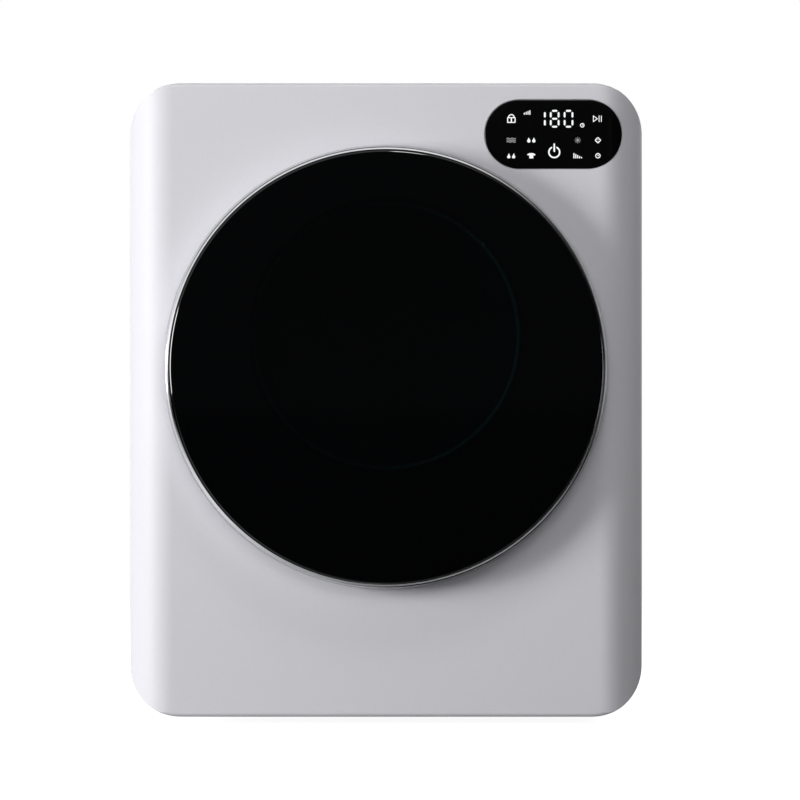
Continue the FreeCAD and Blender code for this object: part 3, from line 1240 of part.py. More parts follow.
def idler_arm():
    """Tension arm with the idler pulley's pin at its free end."""
    length = math.hypot(IDLER_X - PIVOT_X, IDLER_Z - PIVOT_Z)
    side_x = -(IDLER_Z - PIVOT_Z) / length * ARM_W / 2
    side_z = (IDLER_X - PIVOT_X) / length * ARM_W / 2
    corners = [V(PIVOT_X + side_x, ARM_Y, PIVOT_Z + side_z), V(IDLER_X + side_x, ARM_Y, IDLER_Z + side_z),
               V(IDLER_X - side_x, ARM_Y, IDLER_Z - side_z), V(PIVOT_X - side_x, ARM_Y, PIVOT_Z - side_z)]
    bar = Part.Face(Part.makePolygon(corners + corners[:1])).extrude(V(0, ARM_T, 0))
    ends = [rod(ARM_W / 2, ARM_Y, ARM_Y + ARM_T, x, z) for x, z in ((PIVOT_X, PIVOT_Z), (IDLER_X, IDLER_Z))]
    pin = rod(IDLER_PIN_R, BELT_Y - PULLEY_W / 2 - ARM_GAP / 2, ARM_Y, IDLER_X, IDLER_Z)
    arm = joined(bar, pin, *ends)
    return drilled(arm, [(PIVOT_X, PIVOT_Z)], 0, BODY_D, PIVOT_R + PIN_FIT)


def idler_pulley():
    y0 = BELT_Y - PULLEY_W / 2
    y1 = BELT_Y + PULLEY_W / 2
    bore = IDLER_PIN_R + PIN_FIT
    rim = IDLER_R + IDLER_FLANGE
    profile = [(bore, y0), (rim, y0), (rim, y0 + IDLER_FLANGE_T), (IDLER_R, y0 + IDLER_FLANGE_T),
               (IDLER_R, y1 - IDLER_FLANGE_T), (rim, y1 - IDLER_FLANGE_T), (rim, y1), (bore, y1)]
    return turned(profile, IDLER_X, IDLER_Z)


def capacitor():
    can = rod(CAPACITOR_R, CAPACITOR_Y, CAPACITOR_Y + CAPACITOR_L, CAPACITOR_X, CAPACITOR_Z)
    tabs = []
    for side in (-1, 1):
        x = CAPACITOR_X + side * CAPACITOR_R / 2
        tabs.append(box(x - TERMINAL_T / 2, x + TERMINAL_T / 2, CAPACITOR_Y - TERMINAL_L, CAPACITOR_Y,
                        CAPACITOR_Z - TERMINAL_W / 2, CAPACITOR_Z + TERMINAL_W / 2))
    return joined(can, *tabs)


def capacitor_clip():
    """Spring clip that holds the capacitor on the tray floor."""
    y0 = CAPACITOR_Y + (CAPACITOR_L - CAPACITOR_CLIP_W) / 2
    y1 = y0 + CAPACITOR_CLIP_W
    outer_r = CAPACITOR_R + SADDLE_FIT + CAPACITOR_CLIP_T
    clip = rod(outer_r, y0, y1, CAPACITOR_X, CAPACITOR_Z)
    x0 = CAPACITOR_X - outer_r
    x1 = CAPACITOR_X + outer_r
    clip = clip.common(box(x0, x1, y0, y1, FLOOR_Z, CAPACITOR_Z + CAPACITOR_R / 2))
    foot = box(x0, x1, y0, y1, FLOOR_Z, FLOOR_Z + CAPACITOR_CLIP_T)
    return drilled(joined(clip, foot), [(CAPACITOR_X, CAPACITOR_Z)], 0, BODY_D, CAPACITOR_R + SADDLE_FIT)


# Power electronics

def control_corners():
    x = CONTROL_W / 2 - CONTROL_T - CONTROL_POST_R
    y = CONTROL_L / 2 - CONTROL_T - CONTROL_POST_R
    mid_x = CONTROL_X + CONTROL_W / 2
    mid_y = CONTROL_Y + CONTROL_L / 2
    return [(mid_x + i * x, mid_y + j * y) for i in (-1, 1) for j in (-1, 1)]


def control_housing():
    """Open tray on the floor of the casing, with posts for its board."""
    top = FLOOR_Z + CONTROL_H
    x1 = CONTROL_X + CONTROL_W
    y1 = CONTROL_Y + CONTROL_L
    tray = box(CONTROL_X, x1, CONTROL_Y, y1, FLOOR_Z, top)
    tray = tray.cut(box(CONTROL_X + CONTROL_T, x1 - CONTROL_T, CONTROL_Y + CONTROL_T, y1 - CONTROL_T,
                        FLOOR_Z + CONTROL_T, top))
    posts = [post(CONTROL_POST_R, FLOOR_Z + CONTROL_T / 2, FLOOR_Z + CONTROL_T + CONTROL_POST_H, x, y)
             for x, y in control_corners()]
    return joined(tray, *posts)


def control_board():
    """Power board with two relays and a coil."""
    z0 = FLOOR_Z + CONTROL_T + CONTROL_POST_H
    edge = CONTROL_T + BOARD_FIT
    x0 = CONTROL_X + edge
    x1 = CONTROL_X + CONTROL_W - edge
    y0 = CONTROL_Y + edge
    y1 = CONTROL_Y + CONTROL_L - edge
    top = z0 + BOARD_T
    board = box(x0, x1, y0, y1, z0, top)
    relays = [box(x0 + BOARD_EDGE, x0 + BOARD_EDGE + RELAY_W, y, y + RELAY_W, top, top + RELAY_H)
              for y in (y0 + BOARD_EDGE, y0 + 2 * BOARD_EDGE + RELAY_W)]
    coil = post(COIL_R, top, top + COIL_H, x1 - COIL_IN, (y0 + y1) / 2)
    return joined(board, coil, *relays)


# Every piece, each saved under its own name

PIECES = (front_fascia, cabinet_wrap, base_tray, rear_panel, casing_screws, wall_nuts, feet,
          intake_grille, exhaust_collar, cord_gland, touch_panel, display_housing,
          display_board, door_ring, door_glass, door_frame, door_bowl, bowl_clamp_ring,
          door_screws, hinge_leaf, hinge_bracket, front_screws, hinge_pin, catch_magnet,
          strike_plate, switch_body, switch_plunger, face_gasket, mouth_ring, front_bulkhead,
          front_felt, drum_shell, drum_back, drum_shaft, shaft_nut, lifters, lint_filter,
          rear_bulkhead, rear_felt, bearing_spider, rear_bearing, heater_duct, heater_core,
          thermal_cutout, return_duct, blower_housing, blower_wheel, motor_housing,
          motor_stator, motor_rotor, motor_pulley, motor_cradle, drive_belt, idler_bracket,
          idler_arm, idler_pulley, capacitor, capacitor_clip, control_housing, control_board)

shapes = {piece.__name__: piece() for piece in PIECES}

os.makedirs("parts", exist_ok=True)
for name, shape in shapes.items():
    shape.translate(V(0, FRONT_SHIFT, 0))
    shape.exportStep("parts/%s.step" % name)
    print("%-18s solids %2d  volume %9.1f cm3" % (name, len(shape.Solids), shape.Volume / 1000))
print("casing %.1f wide, %.1f high, %.1f deep" % (BODY_W, BODY_TOP - FOOT_H, BODY_D))
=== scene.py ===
import json
import math

import bmesh
import bpy
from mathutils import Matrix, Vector


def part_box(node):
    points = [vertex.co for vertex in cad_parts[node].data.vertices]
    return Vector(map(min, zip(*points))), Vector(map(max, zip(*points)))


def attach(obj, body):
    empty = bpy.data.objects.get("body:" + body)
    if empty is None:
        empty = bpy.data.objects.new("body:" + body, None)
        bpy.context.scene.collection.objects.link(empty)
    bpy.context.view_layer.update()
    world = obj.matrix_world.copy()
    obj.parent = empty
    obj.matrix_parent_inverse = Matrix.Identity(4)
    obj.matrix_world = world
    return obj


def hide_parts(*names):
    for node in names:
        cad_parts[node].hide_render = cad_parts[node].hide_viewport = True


# %% [markdown]
# A portable clothes dryer: a silver-white moulded front with a large smoked-glass door, and a lit
# touch panel at its upper right. The shapes of its pieces are ready made; this lesson gives each of
# them its surface, turns and folds the few that need finer edges, and sets up the studio round it.

# %% Load the pieces
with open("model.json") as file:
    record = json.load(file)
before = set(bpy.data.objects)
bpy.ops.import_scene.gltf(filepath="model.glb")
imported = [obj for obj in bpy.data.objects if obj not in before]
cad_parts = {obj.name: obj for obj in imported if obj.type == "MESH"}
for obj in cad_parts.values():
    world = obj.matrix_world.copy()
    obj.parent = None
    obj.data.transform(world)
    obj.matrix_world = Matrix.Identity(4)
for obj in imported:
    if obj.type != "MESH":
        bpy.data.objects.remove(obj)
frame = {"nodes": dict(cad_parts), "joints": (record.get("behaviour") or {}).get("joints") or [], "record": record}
nodes = frame["nodes"]
for old in list(bpy.data.materials):
    bpy.data.materials.remove(old)
slots = {part["node"]: part["material_slot"] for part in frame["record"]["subparts"]}
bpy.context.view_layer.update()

# %% [markdown]
# A surface is worked out like a sum: noise, stripes and distances are added and multiplied until
# they give a colour, a roughness or a height. The nodes could be placed and linked one by one, but a
# small class lets plain Python arithmetic build that sum, so each finish below reads as the sentence
# that describes it.

# %% One value of a surface
class Wire:
    """A value that can be added, multiplied and so on."""

    def __init__(self, graph, socket):
        self.graph = graph
        self.socket = socket

    def maths(self, operation, *values):
        return self.graph.node("Math", {"operation": operation}, dict(enumerate(values)))

    def __add__(self, other):
        return self.maths("ADD", self, other)

    def __radd__(self, other):
        return self.maths("ADD", other, self)

    def __sub__(self, other):
        return self.maths("SUBTRACT", self, other)

    def __rsub__(self, other):
        return self.maths("SUBTRACT", other, self)

    def __mul__(self, other):
        return self.maths("MULTIPLY", self, other)

    def __neg__(self):
        return self.maths("MULTIPLY", self, -1.0)

    def __pow__(self, other):
        return self.maths("POWER", self, other)

    def sine(self):
        return self.maths("SINE", self)

    def above(self, limit):
        return self.maths("GREATER_THAN", self, limit)

    def between(self, low, high):
        """0 at low, 1 at high, with a soft start and end."""
        values = {"Value": self, "From Min": low, "From Max": high}
        return self.graph.node("MapRange", {"interpolation_type": "SMOOTHSTEP"}, values)


print("values can be added and multiplied")

# %% [markdown]
# Blender keeps such a sum as nodes joined by links. A second class makes them: it sets what a node
# is told, links what another node works out, and knows the few patterns that the finishes share.

# %% One shader
class Graph:
    """The shader of one material, or of the world."""

    def __init__(self, owner):
        owner.use_nodes = True
        self.owner = owner
        self.tree = owner.node_tree

    def node(self, kind, settings=None, values=None, out=0):
        made = self.tree.nodes.new("ShaderNode" + kind)
        for key, value in (settings or {}).items():
            setattr(made, key, value)
        for key, value in (values or {}).items():
            self.put(made.inputs[key], value)
        return Wire(self, made.outputs[out])

    def put(self, socket, value):
        if isinstance(value, Wire):
            self.tree.links.new(value.socket, socket)
        else:
            socket.default_value = value

    def place(self):
        return self.node("TexCoord", out="Object")

    def split(self, vector):
        return [self.node("SeparateXYZ", {}, {0: vector}, out=i) for i in range(3)]

    def axes(self):
        return self.split(self.place())

    def vector(self, x, y, z):
        return self.node("CombineXYZ", {}, {0: x, 1: y, 2: z})

    def noise(self, scale, detail=2.0, place=None):
        values = {"Vector": place or self.place(), "Scale": scale, "Detail": detail}
        return self.node("TexNoise", {}, values)

    def mix(self, share, first, second):
        return self.node("Mix", {"data_type": "RGBA"}, {0: share, 6: first, 7: second}, out=2)


print("patterns:", [name for name in vars(Graph) if not name.startswith("_")])

# %% [markdown]
# Every finish ends in the same shader, which takes a colour, a roughness and, where there is one, a
# relief. What is the same all over the surface is set on the shader itself. Colours are written as
# they are read off a screen, and turned into the linear values that Blender reckons with.

# %% Colour and finish
finishes = {}


def srgb(red, green, blue):
    """A colour from 0 to 255, in linear values."""
    levels = [((c / 255 + 0.055) / 1.055) ** 2.4 for c in (red, green, blue)]
    return (*levels, 1.0)


def material(name):
    return Graph(bpy.data.materials.new(name))


def finish(graph, color, roughness, metallic=0.0, height=None, depth=0.0001, fixed=None):
    """Puts a colour, a roughness and a relief of that depth in metres on a material."""
    shader = graph.tree.nodes["Principled BSDF"]
    graph.put(shader.inputs["Base Color"], color)
    graph.put(shader.inputs["Roughness"], roughness)
    graph.put(shader.inputs["Metallic"], metallic)
    if height is not None:
        relief = graph.node("Bump", {}, {"Strength": 1.0, "Distance": depth, "Height": height})
        graph.put(shader.inputs["Normal"], relief)
    for name, value in (fixed or {}).items():
        shader.inputs[name].default_value = value
    finishes[graph.owner.name] = graph.owner
    print("finish:", graph.owner.name)


print("mid grey, linear:", [round(level, 3) for level in srgb(128, 128, 128)])

# %% [markdown]
# The front is an injection-moulded shell with a satin silver-white lacquer. Lacquer is never quite
# even: it has a faint ripple, and fine flakes that make some spots a little glossier than others. One
# plain colour would look like a toy, and a scanned picture would have to be fitted to the shell, so
# two noises do it: the coarse one is the ripple, the fine one the flakes.

# %% Front moulding
g = material("front_moulding")
ripple = g.noise(420, 2.0)
flake = g.noise(5200, 1.0)
tone = g.mix(ripple * 0.6 + flake * 0.4, srgb(205, 204, 210), srgb(213, 212, 217))
finish(g, tone, 0.42 + flake * 0.1, height=ripple * 0.7 + flake * 0.3, depth=0.00003,
       fixed={"Specular IOR Level": 0.28})

# %% [markdown]
# The casing behind the front is bent sheet steel with a powder coat in the same tone. Powder coat
# flows out into soft dimples a millimetre or two wide. In the mesh they would cost a great many faces,
# so they are a relief in the shader, and a slow cloud of tone keeps the large faces from looking dead.
# The tray below is a shade darker, so one function makes both.

# %% Powder-coated steel
def powder_coat(name, low, high):
    g = material(name)
    dimple = g.noise(900, 1.5)
    cloud = g.noise(14, 3.0)
    finish(g, g.mix(cloud, low, high), 0.4 + dimple * 0.12, height=dimple, depth=0.00008)


powder_coat("wrap_paint", srgb(203, 202, 208), srgb(209, 208, 214))
powder_coat("tray_paint", srgb(190, 189, 195), srgb(197, 196, 202))

# %% [markdown]
# Sheet metal that nobody sees from the front is only zinc coated. Hot zinc freezes into flat
# crystals, each with its own shine. A noise has no edges, so the cells of a Voronoi pattern are used:
# every cell has one tone by chance, which sets the colour and the roughness together.

# %% Zinc-coated steel
def spangle(name, low, high, scale, metallic):
    g = material(name)
    cells = g.node("TexVoronoi", {}, {"Vector": g.place(), "Scale": scale}, out="Color")
    crystal = g.node("RGBToBW", {}, {0: cells})
    streak = g.noise(60, 4.0)
    share = crystal * 0.7 + streak * 0.3
    finish(g, g.mix(share, low, high), 0.34 + crystal * 0.14 + streak * 0.06, metallic,
           height=streak, depth=0.00002)


spangle("rear_steel", srgb(186, 187, 190), srgb(202, 203, 206), 160, 0.55)
spangle("zinc_steel", srgb(168, 170, 173), srgb(196, 198, 200), 240, 0.9)

# %% [markdown]
# The drum is stainless steel that was brushed while it turned, so its scratches run in circles round
# the drum's axis. A shader with stretched gloss would show no single scratch from close by. A noise
# that only sees the distance from that axis, and the place along it, does: it is stretched right
# round the drum.

# %% Brushed drum steel
low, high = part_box("drum_shell")
drum_axis = (low.z + high.z) / 2
g = material("drum_steel")
x, y, z = g.axes()
radius = (x ** 2.0 + (z - drum_axis) ** 2.0) ** 0.5
scratch = g.noise(1.0, 3.0, g.vector(radius * 2600, y * 2600, 0.0))
haze = g.noise(18, 3.0)
steel = g.mix(scratch * 0.6 + haze * 0.4, srgb(150, 152, 155), srgb(196, 198, 201))
finish(g, steel, 0.2 + scratch * 0.16 + haze * 0.06, 1.0, height=scratch, depth=0.00002)

# %% [markdown]
# Screws, pins and nuts are small turned or headed steel pieces with a bright zinc wash that dulls
# in patches. Bronze, cast alloy and the heater's wire differ from them only in tone, gloss and grain,
# so one function with those as its values makes all four.

# %% Small steel pieces
def turned_metal(name, low, high, rough, patch=120, grain=2400, depth=0.00002):
    g = material(name)
    dull = g.noise(patch, 3.0)
    fine = g.noise(grain, 1.0)
    finish(g, g.mix(dull, low, high), rough + dull * 0.14, 1.0, height=fine, depth=depth)


turned_metal("screw_steel", srgb(176, 177, 178), srgb(208, 208, 206), 0.2)
turned_metal("bronze", srgb(158, 112, 62), srgb(190, 142, 86), 0.26)
turned_metal("cast_alloy", srgb(150, 152, 154), srgb(182, 184, 186), 0.34, 60, 700, 0.00012)
turned_metal("heater_alloy", srgb(120, 112, 106), srgb(164, 154, 146), 0.3, 90)

# %% [markdown]
# The motor's core is a stack of thin punched sheets. Their edges show as fine stripes along the
# motor's length. Hundreds of modelled sheets would be wasted inside the casing, so a sine of the place
# along the motor draws them, in tone and in relief.

# %% Motor laminations
g = material("motor_steel")
x, y, z = g.axes()
stripe = (y * 12000.0).sine() * 0.5 + 0.5
dust = g.noise(200, 3.0)
finish(g, g.mix(stripe * 0.7 + dust * 0.3, srgb(70, 70, 72), srgb(132, 132, 134)), 0.36 + dust * 0.2,
       0.9, height=stripe, depth=0.00008)

# %% [markdown]
# The door's ring is chrome-plated plastic: almost a mirror, with a trace of haze where the plating
# is thin. Chrome looks like chrome by what it mirrors, so the finish stays simple, and the work goes
# into the ring's edges and the studio further down.

# %% Chrome plating
g = material("door_chrome")
haze = g.noise(90, 3.0)
finish(g, g.mix(haze, srgb(212, 213, 216), srgb(226, 227, 230)), 0.08 + haze * 0.05, 1.0)

# %% [markdown]
# The door glass is smoked nearly black, so only a trace of what lies behind comes through, and its
# border is printed solid black from behind. A shader that bends light would take long to render and
# show no more, so a plain gloss is made partly see-through. A breath of dust lies on it.

# %% Smoked glass
g = material("smoked_glass")
x, y, z = g.axes()
dust = g.noise(240, 4.0)
print_in, print_out = 0.1285, 0.1300
border = ((x ** 2.0 + (z - drum_axis) ** 2.0) ** 0.5).between(print_in, print_out)
finish(g, g.mix(dust, srgb(1, 2, 3), srgb(3, 4, 6)), 0.03 + dust * 0.03)
g.put(g.tree.nodes["Principled BSDF"].inputs["Alpha"], 0.72 + border * 0.28)

# %% [markdown]
# The bowl behind the door glass is clear, thick glass. It looks teal where it is seen edge on, because
# there the light has come a long way through it. Its ground rim is a paler teal band: partly the
# grind's frosting, and partly a painted highlight for the glints that the rim throws under the lamps.
# Both make it less see-through, so the share of edge and rim sets its alpha.

# %% Clear bowl
g = material("bowl_glass")
ripple = g.noise(26, 2.0)
edge_on = g.node("LayerWeight", {}, {"Blend": 0.3}, out="Facing") ** 2.0
x, y, z = g.axes()
behind_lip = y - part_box("door_bowl")[0].y
rim_starts, rim_ends = (0.004, 0.006), (0.018, 0.024)
# painted highlight: the band along the ground rim is painted paler teal for its glints, and is rougher from the
# grinding
ground_rim_glint = behind_lip.between(*rim_starts) * (1.0 - behind_lip.between(*rim_ends))
deep = g.mix(ripple, srgb(30, 78, 88), srgb(70, 126, 134))
tint = g.mix(ground_rim_glint, deep, srgb(120, 224, 232))
finish(g, tint, 0.06 + ripple * 0.04 + ground_rim_glint * 0.3, height=ripple, depth=0.0002,
       fixed={"IOR": 1.52, "Specular IOR Level": 0.8, "Specular Tint": (0.55, 0.9, 1.0, 1.0)})
g.put(g.tree.nodes["Principled BSDF"].inputs["Alpha"], 0.1 + edge_on * 0.4 + ground_rim_glint * 0.45)

# %% [markdown]
# Black, grey and white mouldings leave a spark-eroded tool with a fine matt grain. The grain is
# deep enough to break up the gloss, but too fine to see one by one. Roughness alone would be the same
# all over, so a fine noise sets both roughness and relief. Rubber is made alike, with a coarser grain.

# %% Moulded plastics
def moulding(name, low, high, rough, grain=1800, depth=0.00006):
    g = material(name)
    bite = g.noise(grain, 2.0)
    flow = g.noise(22, 3.0)
    finish(g, g.mix(flow * 0.6 + bite * 0.4, low, high), rough + bite * 0.16, height=bite, depth=depth)


moulding("black_moulding", srgb(22, 23, 25), srgb(36, 37, 39), 0.42)
moulding("grey_moulding", srgb(126, 128, 131), srgb(146, 148, 150), 0.46)
moulding("white_moulding", srgb(216, 216, 214), srgb(228, 228, 226), 0.42)
moulding("rubber_black", srgb(24, 24, 25), srgb(38, 38, 39), 0.66, 1200, 0.00012)
moulding("gasket_grey", srgb(84, 86, 89), srgb(104, 106, 109), 0.62, 1400, 0.0001)

# %% [markdown]
# The lens of the touch panel is a gloss black sheet, wiped clean but never free of fine dust. A
# perfect mirror would look like a hole, so the dust makes its gloss a little uneven, and it mirrors
# less than plain glass, as a lens with a coat against glare does.

# %% Lens
g = material("panel_black")
dust = g.noise(500, 4.0)
finish(g, g.mix(dust, srgb(2, 2, 3), srgb(5, 5, 6)), 0.06 + dust * 0.05, fixed={"Specular IOR Level": 0.3})

# %% [markdown]
# The felt bands that carry the drum are pressed wool: short fibres lie every way round the band. Real
# hairs would be far too many for bands that hardly show, so two stretched noises cross each other.

# %% Felt
g = material("felt_grey")
x, y, z = g.axes()
lengthwise = g.noise(1.0, 4.0, g.vector(x * 900, y * 3200, z * 900))
crosswise = g.noise(1.0, 4.0, g.vector(x * 3200, y * 900, z * 3200))
fibre = lengthwise * 0.5 + crosswise * 0.5
finish(g, g.mix(fibre, srgb(92, 92, 94), srgb(150, 149, 148)), 0.92, height=fibre, depth=0.0006)

# %% [markdown]
# A printed board is green lacquer over copper tracks. A drawn layout would only show with the casing
# open, so a Voronoi pattern that is measured along the axes, and so has straight edges, stands in for
# it: along its cells' edges it passes a limit, and there the lacquer stands up and is paler.

# %% Printed boards
g = material("board_green")
step = g.node("TexVoronoi", {"distance": "CHEBYCHEV"}, {"Vector": g.place(), "Scale": 260}, out="Distance")
track = step.above(0.34)
haze = g.noise(40, 2.0)
finish(g, g.mix(track * 0.75 + haze * 0.25, srgb(12, 62, 38), srgb(52, 120, 72)), 0.32 + haze * 0.12,
       height=track, depth=0.00006)
print("finishes:", len(finishes))

# %% [markdown]
# Each piece takes the finish that its record names. Its own name would do as well, but one finish
# serves many pieces, and the record already says which.

# %% Give every piece its finish
for name, piece in nodes.items():
    piece.data.materials.clear()
    piece.data.materials.append(finishes[slots[name]])
print("finished pieces:", len(nodes))

# %% [markdown]
# The display behind the lens shines through it as white strokes. They could be painted as a picture,
# but pieces stay sharp from close by. A stroke is a chain of short flat bars with a disc at each
# joint, and all of them lie just in front of the lens, measured from its middle in millimetres.

# %% Strokes
low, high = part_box("touch_panel")
lens_half = 0.065
lens_x = high.x - lens_half
lens_z = (low.z + high.z) / 2
STROKE_T = 0.00008
lens_y = low.y - STROKE_T / 2


def corner(mesh, x, z):
    return mesh.verts.new((lens_x + x / 1000, lens_y, lens_z + z / 1000))


def polygon(mesh, places):
    """A thin plate with that outline."""
    front = [corner(mesh, x, z) for x, z in places]
    back = [mesh.verts.new(vertex.co + Vector((0.0, STROKE_T, 0.0))) for vertex in front]
    mesh.faces.new(front)
    mesh.faces.new(back[::-1])
    for i in range(len(front)):
        mesh.faces.new([front[i - 1], front[i], back[i], back[i - 1]])


def arc(x, z, radius, start, end, count=22):
    turns = [math.radians(start + (end - start) * i / count) for i in range(count + 1)]
    return [(x + radius * math.cos(a), z + radius * math.sin(a)) for a in turns]


def disc(mesh, x, z, radius, count=14):
    polygon(mesh, arc(x, z, radius, 0, 360, count)[:-1])


def stroke(mesh, places, width):
    for (x0, z0), (x1, z1) in zip(places, places[1:]):
        along = math.hypot(x1 - x0, z1 - z0)
        ax = (z1 - z0) / along * width / 2
        az = (x1 - x0) / along * width / 2
        polygon(mesh, [(x0 - ax, z0 + az), (x0 + ax, z0 - az), (x1 + ax, z1 - az), (x1 - ax, z1 + az)])
    for x, z in places:
        disc(mesh, x, z, width / 2)


print("lens middle, m:", round(lens_x, 4), round(lens_y, 4), round(lens_z, 4))

# %% [markdown]
# The clock shows three digits. A digit has seven bars, named a to g from the top round to the middle;
# each bar is a slim hexagon, and a one lights only the two bars on its right.

# %% Digits
bright = bmesh.new()
top_row = 14.6
bar_t, bar_gap = 0.9, 1.0
w, h = 3.7, 7.5
bar_ends = {"a": (-w, h, w, h), "b": (w, h, w, 0), "c": (w, 0, w, -h), "d": (-w, -h, w, -h),
            "e": (-w, 0, -w, -h), "f": (-w, h, -w, 0), "g": (-w, 0, w, 0)}


def digit(x, bars):
    for bar in bars:
        x0, z0, x1, z1 = bar_ends[bar]
        along = math.hypot(x1 - x0, z1 - z0)
        ux, uz = (x1 - x0) / along, (z1 - z0) / along
        start, end = bar_gap, along - bar_gap
        shape = [(start, 0), (start + bar_t, bar_t), (end - bar_t, bar_t), (end, 0),
                 (end - bar_t, -bar_t), (start + bar_t, -bar_t)]
        polygon(bright, [(x + x0 + ux * a - uz * b, top_row + z0 + uz * a + ux * b) for a, b in shape])


digit(-11.9, "bc")
digit(1.1, "abcdefg")
digit(14.2, "abcdef")
print("faces of the digits:", len(bright.faces))

# %% [markdown]
# Beside the digits stand the signs that are always lit: a lock, start and pause, power, a row of
# rising bars for the heat and a small dial for the minutes. Each is drawn with a pen's few strokes.

# %% Signs
line_w, thin_w = 0.95, 0.7

# Lock: a frame with a key bar and a shackle
lock_x, lock_half, lock_low, lock_high = -39.9, 3.5, 11.2, 15.6
left, right = lock_x - lock_half, lock_x + lock_half
stroke(bright, [(left, lock_low), (right, lock_low), (right, lock_high), (left, lock_high),
                (left, lock_low)], line_w)
stroke(bright, [(lock_x, lock_low + 1.0), (lock_x, lock_high - 1.0)], 1.2)
stroke(bright, arc(lock_x, lock_high + 0.2, 2.7, 0, 180), line_w)

# Start and pause
start_x, start_w = 37.7, 3.8
under, over = top_row - 2.7, top_row + 2.7
stroke(bright, [(start_x, under), (start_x, over), (start_x + start_w, top_row), (start_x, under)], thin_w)
for pause_x in (43.1, 45.2):
    stroke(bright, [(pause_x, under), (pause_x, over)], thin_w)

# Power
power_x, power_z = 0.7, -17.0
stroke(bright, arc(power_x, power_z, 5.1, 120, 420), 1.4)
stroke(bright, [(power_x, power_z + 0.8), (power_x, power_z + 7.6)], 1.5)

# Heat
heat_x, heat_z, heat_pitch = -27.6, 18.9, 1.75
for i in range(4):
    x = heat_x + heat_pitch * i
    stroke(bright, [(x, heat_z), (x, heat_z + 1.0 + 0.75 * i)], line_w)

# Dial
dial_x, dial_z = 27.2, 8.4
stroke(bright, arc(dial_x, dial_z, 1.7, 0, 360), 0.75)
stroke(bright, [(dial_x, dial_z + 0.9), (dial_x, dial_z), (dial_x + 0.8, dial_z)], 0.55)
print("faces with the signs:", len(bright.faces))

# %% [markdown]
# The programmes are marked with small pictures instead of words: warm air, drops, a sun, a fan, a
# flame, a shirt, a falling scale and a clock. Each is a function that draws round its own middle, so
# that it can be put anywhere. The two that can't be chosen now are lit less.

# %% Programme marks
def waves(mesh, x, z):
    for row in (-1.6, 0.0, 1.6):
        stroke(mesh, [(x - 4 + i, z + row + 0.45 * math.sin(i * 1.57)) for i in range(9)], 0.8)


def drops(mesh, x, z):
    for side in (-2.4, 2.4):
        disc(mesh, x + side, z - 0.7, 1.6)
        polygon(mesh, [(x + side - 1.35, z - 0.1), (x + side + 1.35, z - 0.1), (x + side, z + 2.5)])


def sun(mesh, x, z):
    disc(mesh, x, z, 1.3)
    for i in range(8):
        c, s = math.cos(i * math.pi / 4), math.sin(i * math.pi / 4)
        stroke(mesh, [(x + 1.9 * c, z + 1.9 * s), (x + 2.7 * c, z + 2.7 * s)], 0.6)


def fan(mesh, x, z):
    for i in range(4):
        c, s = math.cos(i * math.pi / 2), math.sin(i * math.pi / 2)
        stroke(mesh, arc(x + 1.3 * c, z + 1.3 * s, 1.1, 90 * i - 120, 90 * i + 100, 8), 0.8)


def flame(mesh, x, z):
    outline = [(-1.7, -1.2), (-0.9, -2.4), (0.9, -2.4), (1.7, -1.2), (0.9, 0.6), (0.3, 2.5), (-0.5, 0.7)]
    for side in (-2.3, 2.3):
        polygon(mesh, [(x + side + a, z + b) for a, b in outline])


def shirt(mesh, x, z):
    half = [(1.6, 2.5), (4, 1.2), (3.1, 0.1), (1.9, 0.8), (1.9, -2.5)]
    polygon(mesh, [(x + a, z + b) for a, b in half] + [(x - a, z + b) for a, b in half[::-1]])


def scale(mesh, x, z):
    for i in range(5):
        stroke(mesh, [(x - 3.6 + 1.8 * i, z - 2.0), (x - 3.6 + 1.8 * i, z + 2.0 - 0.9 * i)], 1.0)


def clock(mesh, x, z):
    stroke(mesh, arc(x, z, 2.1, 0, 360), 0.8)
    stroke(mesh, [(x, z + 1.2), (x, z), (x + 1.0, z)], 0.6)


dim = bmesh.new()
columns = (-40.1, -21.0, 22.9, 42.0)
upper_row, lower_row = -5.7, -20.4
rows = [(upper_row, ((dim, waves), (bright, drops), (dim, sun), (bright, fan))),
        (lower_row, ((bright, flame), (bright, shirt), (bright, scale), (bright, clock)))]
for z, marks in rows:
    for x, (mesh, draw) in zip(columns, marks):
        draw(mesh, x, z)
print("faces of bright and dim marks:", len(bright.faces), len(dim.faces))

# %% [markdown]
# The strokes become two pieces that glow, one bright and one dim. A film behind the lens spreads the
# light of the small lamps, but never quite evenly, so a fine noise sets the glow's tone.

# %% Light the panel
def lit(name, mesh, color, strength):
    bmesh.ops.recalc_face_normals(mesh, faces=mesh.faces)
    data = bpy.data.meshes.new(name)
    mesh.to_mesh(data)
    mesh.free()
    piece = bpy.data.objects.new(name, data)
    bpy.context.scene.collection.objects.link(piece)
    g = material(name)
    fade = g.noise(1500, 2.0)
    finish(g, srgb(20, 20, 20), 0.5, fixed={"Emission Strength": strength})
    g.put(g.tree.nodes["Principled BSDF"].inputs["Emission Color"], g.mix(fade, color, srgb(255, 255, 255)))
    data.materials.append(finishes[name])
    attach(piece, "cabinet")
    print(name, "faces:", len(data.polygons))


lit("panel_symbols", bright, srgb(244, 248, 252), 1.0)
lit("panel_symbols_dim", dim, srgb(150, 154, 158), 0.45)

# %% [markdown]
# The door's glass and its ring are round, polished pieces, and polish shows every flat. They could be
# smoothed with a modifier, but that would round off their crisp edges too. So they are turned here
# again in finer steps: a profile is swept round the door's axis, sharp corners are marked, and the
# rest is shaded smooth.

# %% Turning
low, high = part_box("door_glass")
door_z = (low.z + high.z) / 2
face_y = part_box("front_fascia")[0].y


def depth_mm(y):
    """How far a place lies behind the front's face, in millimetres."""
    return (y - face_y) * 1000


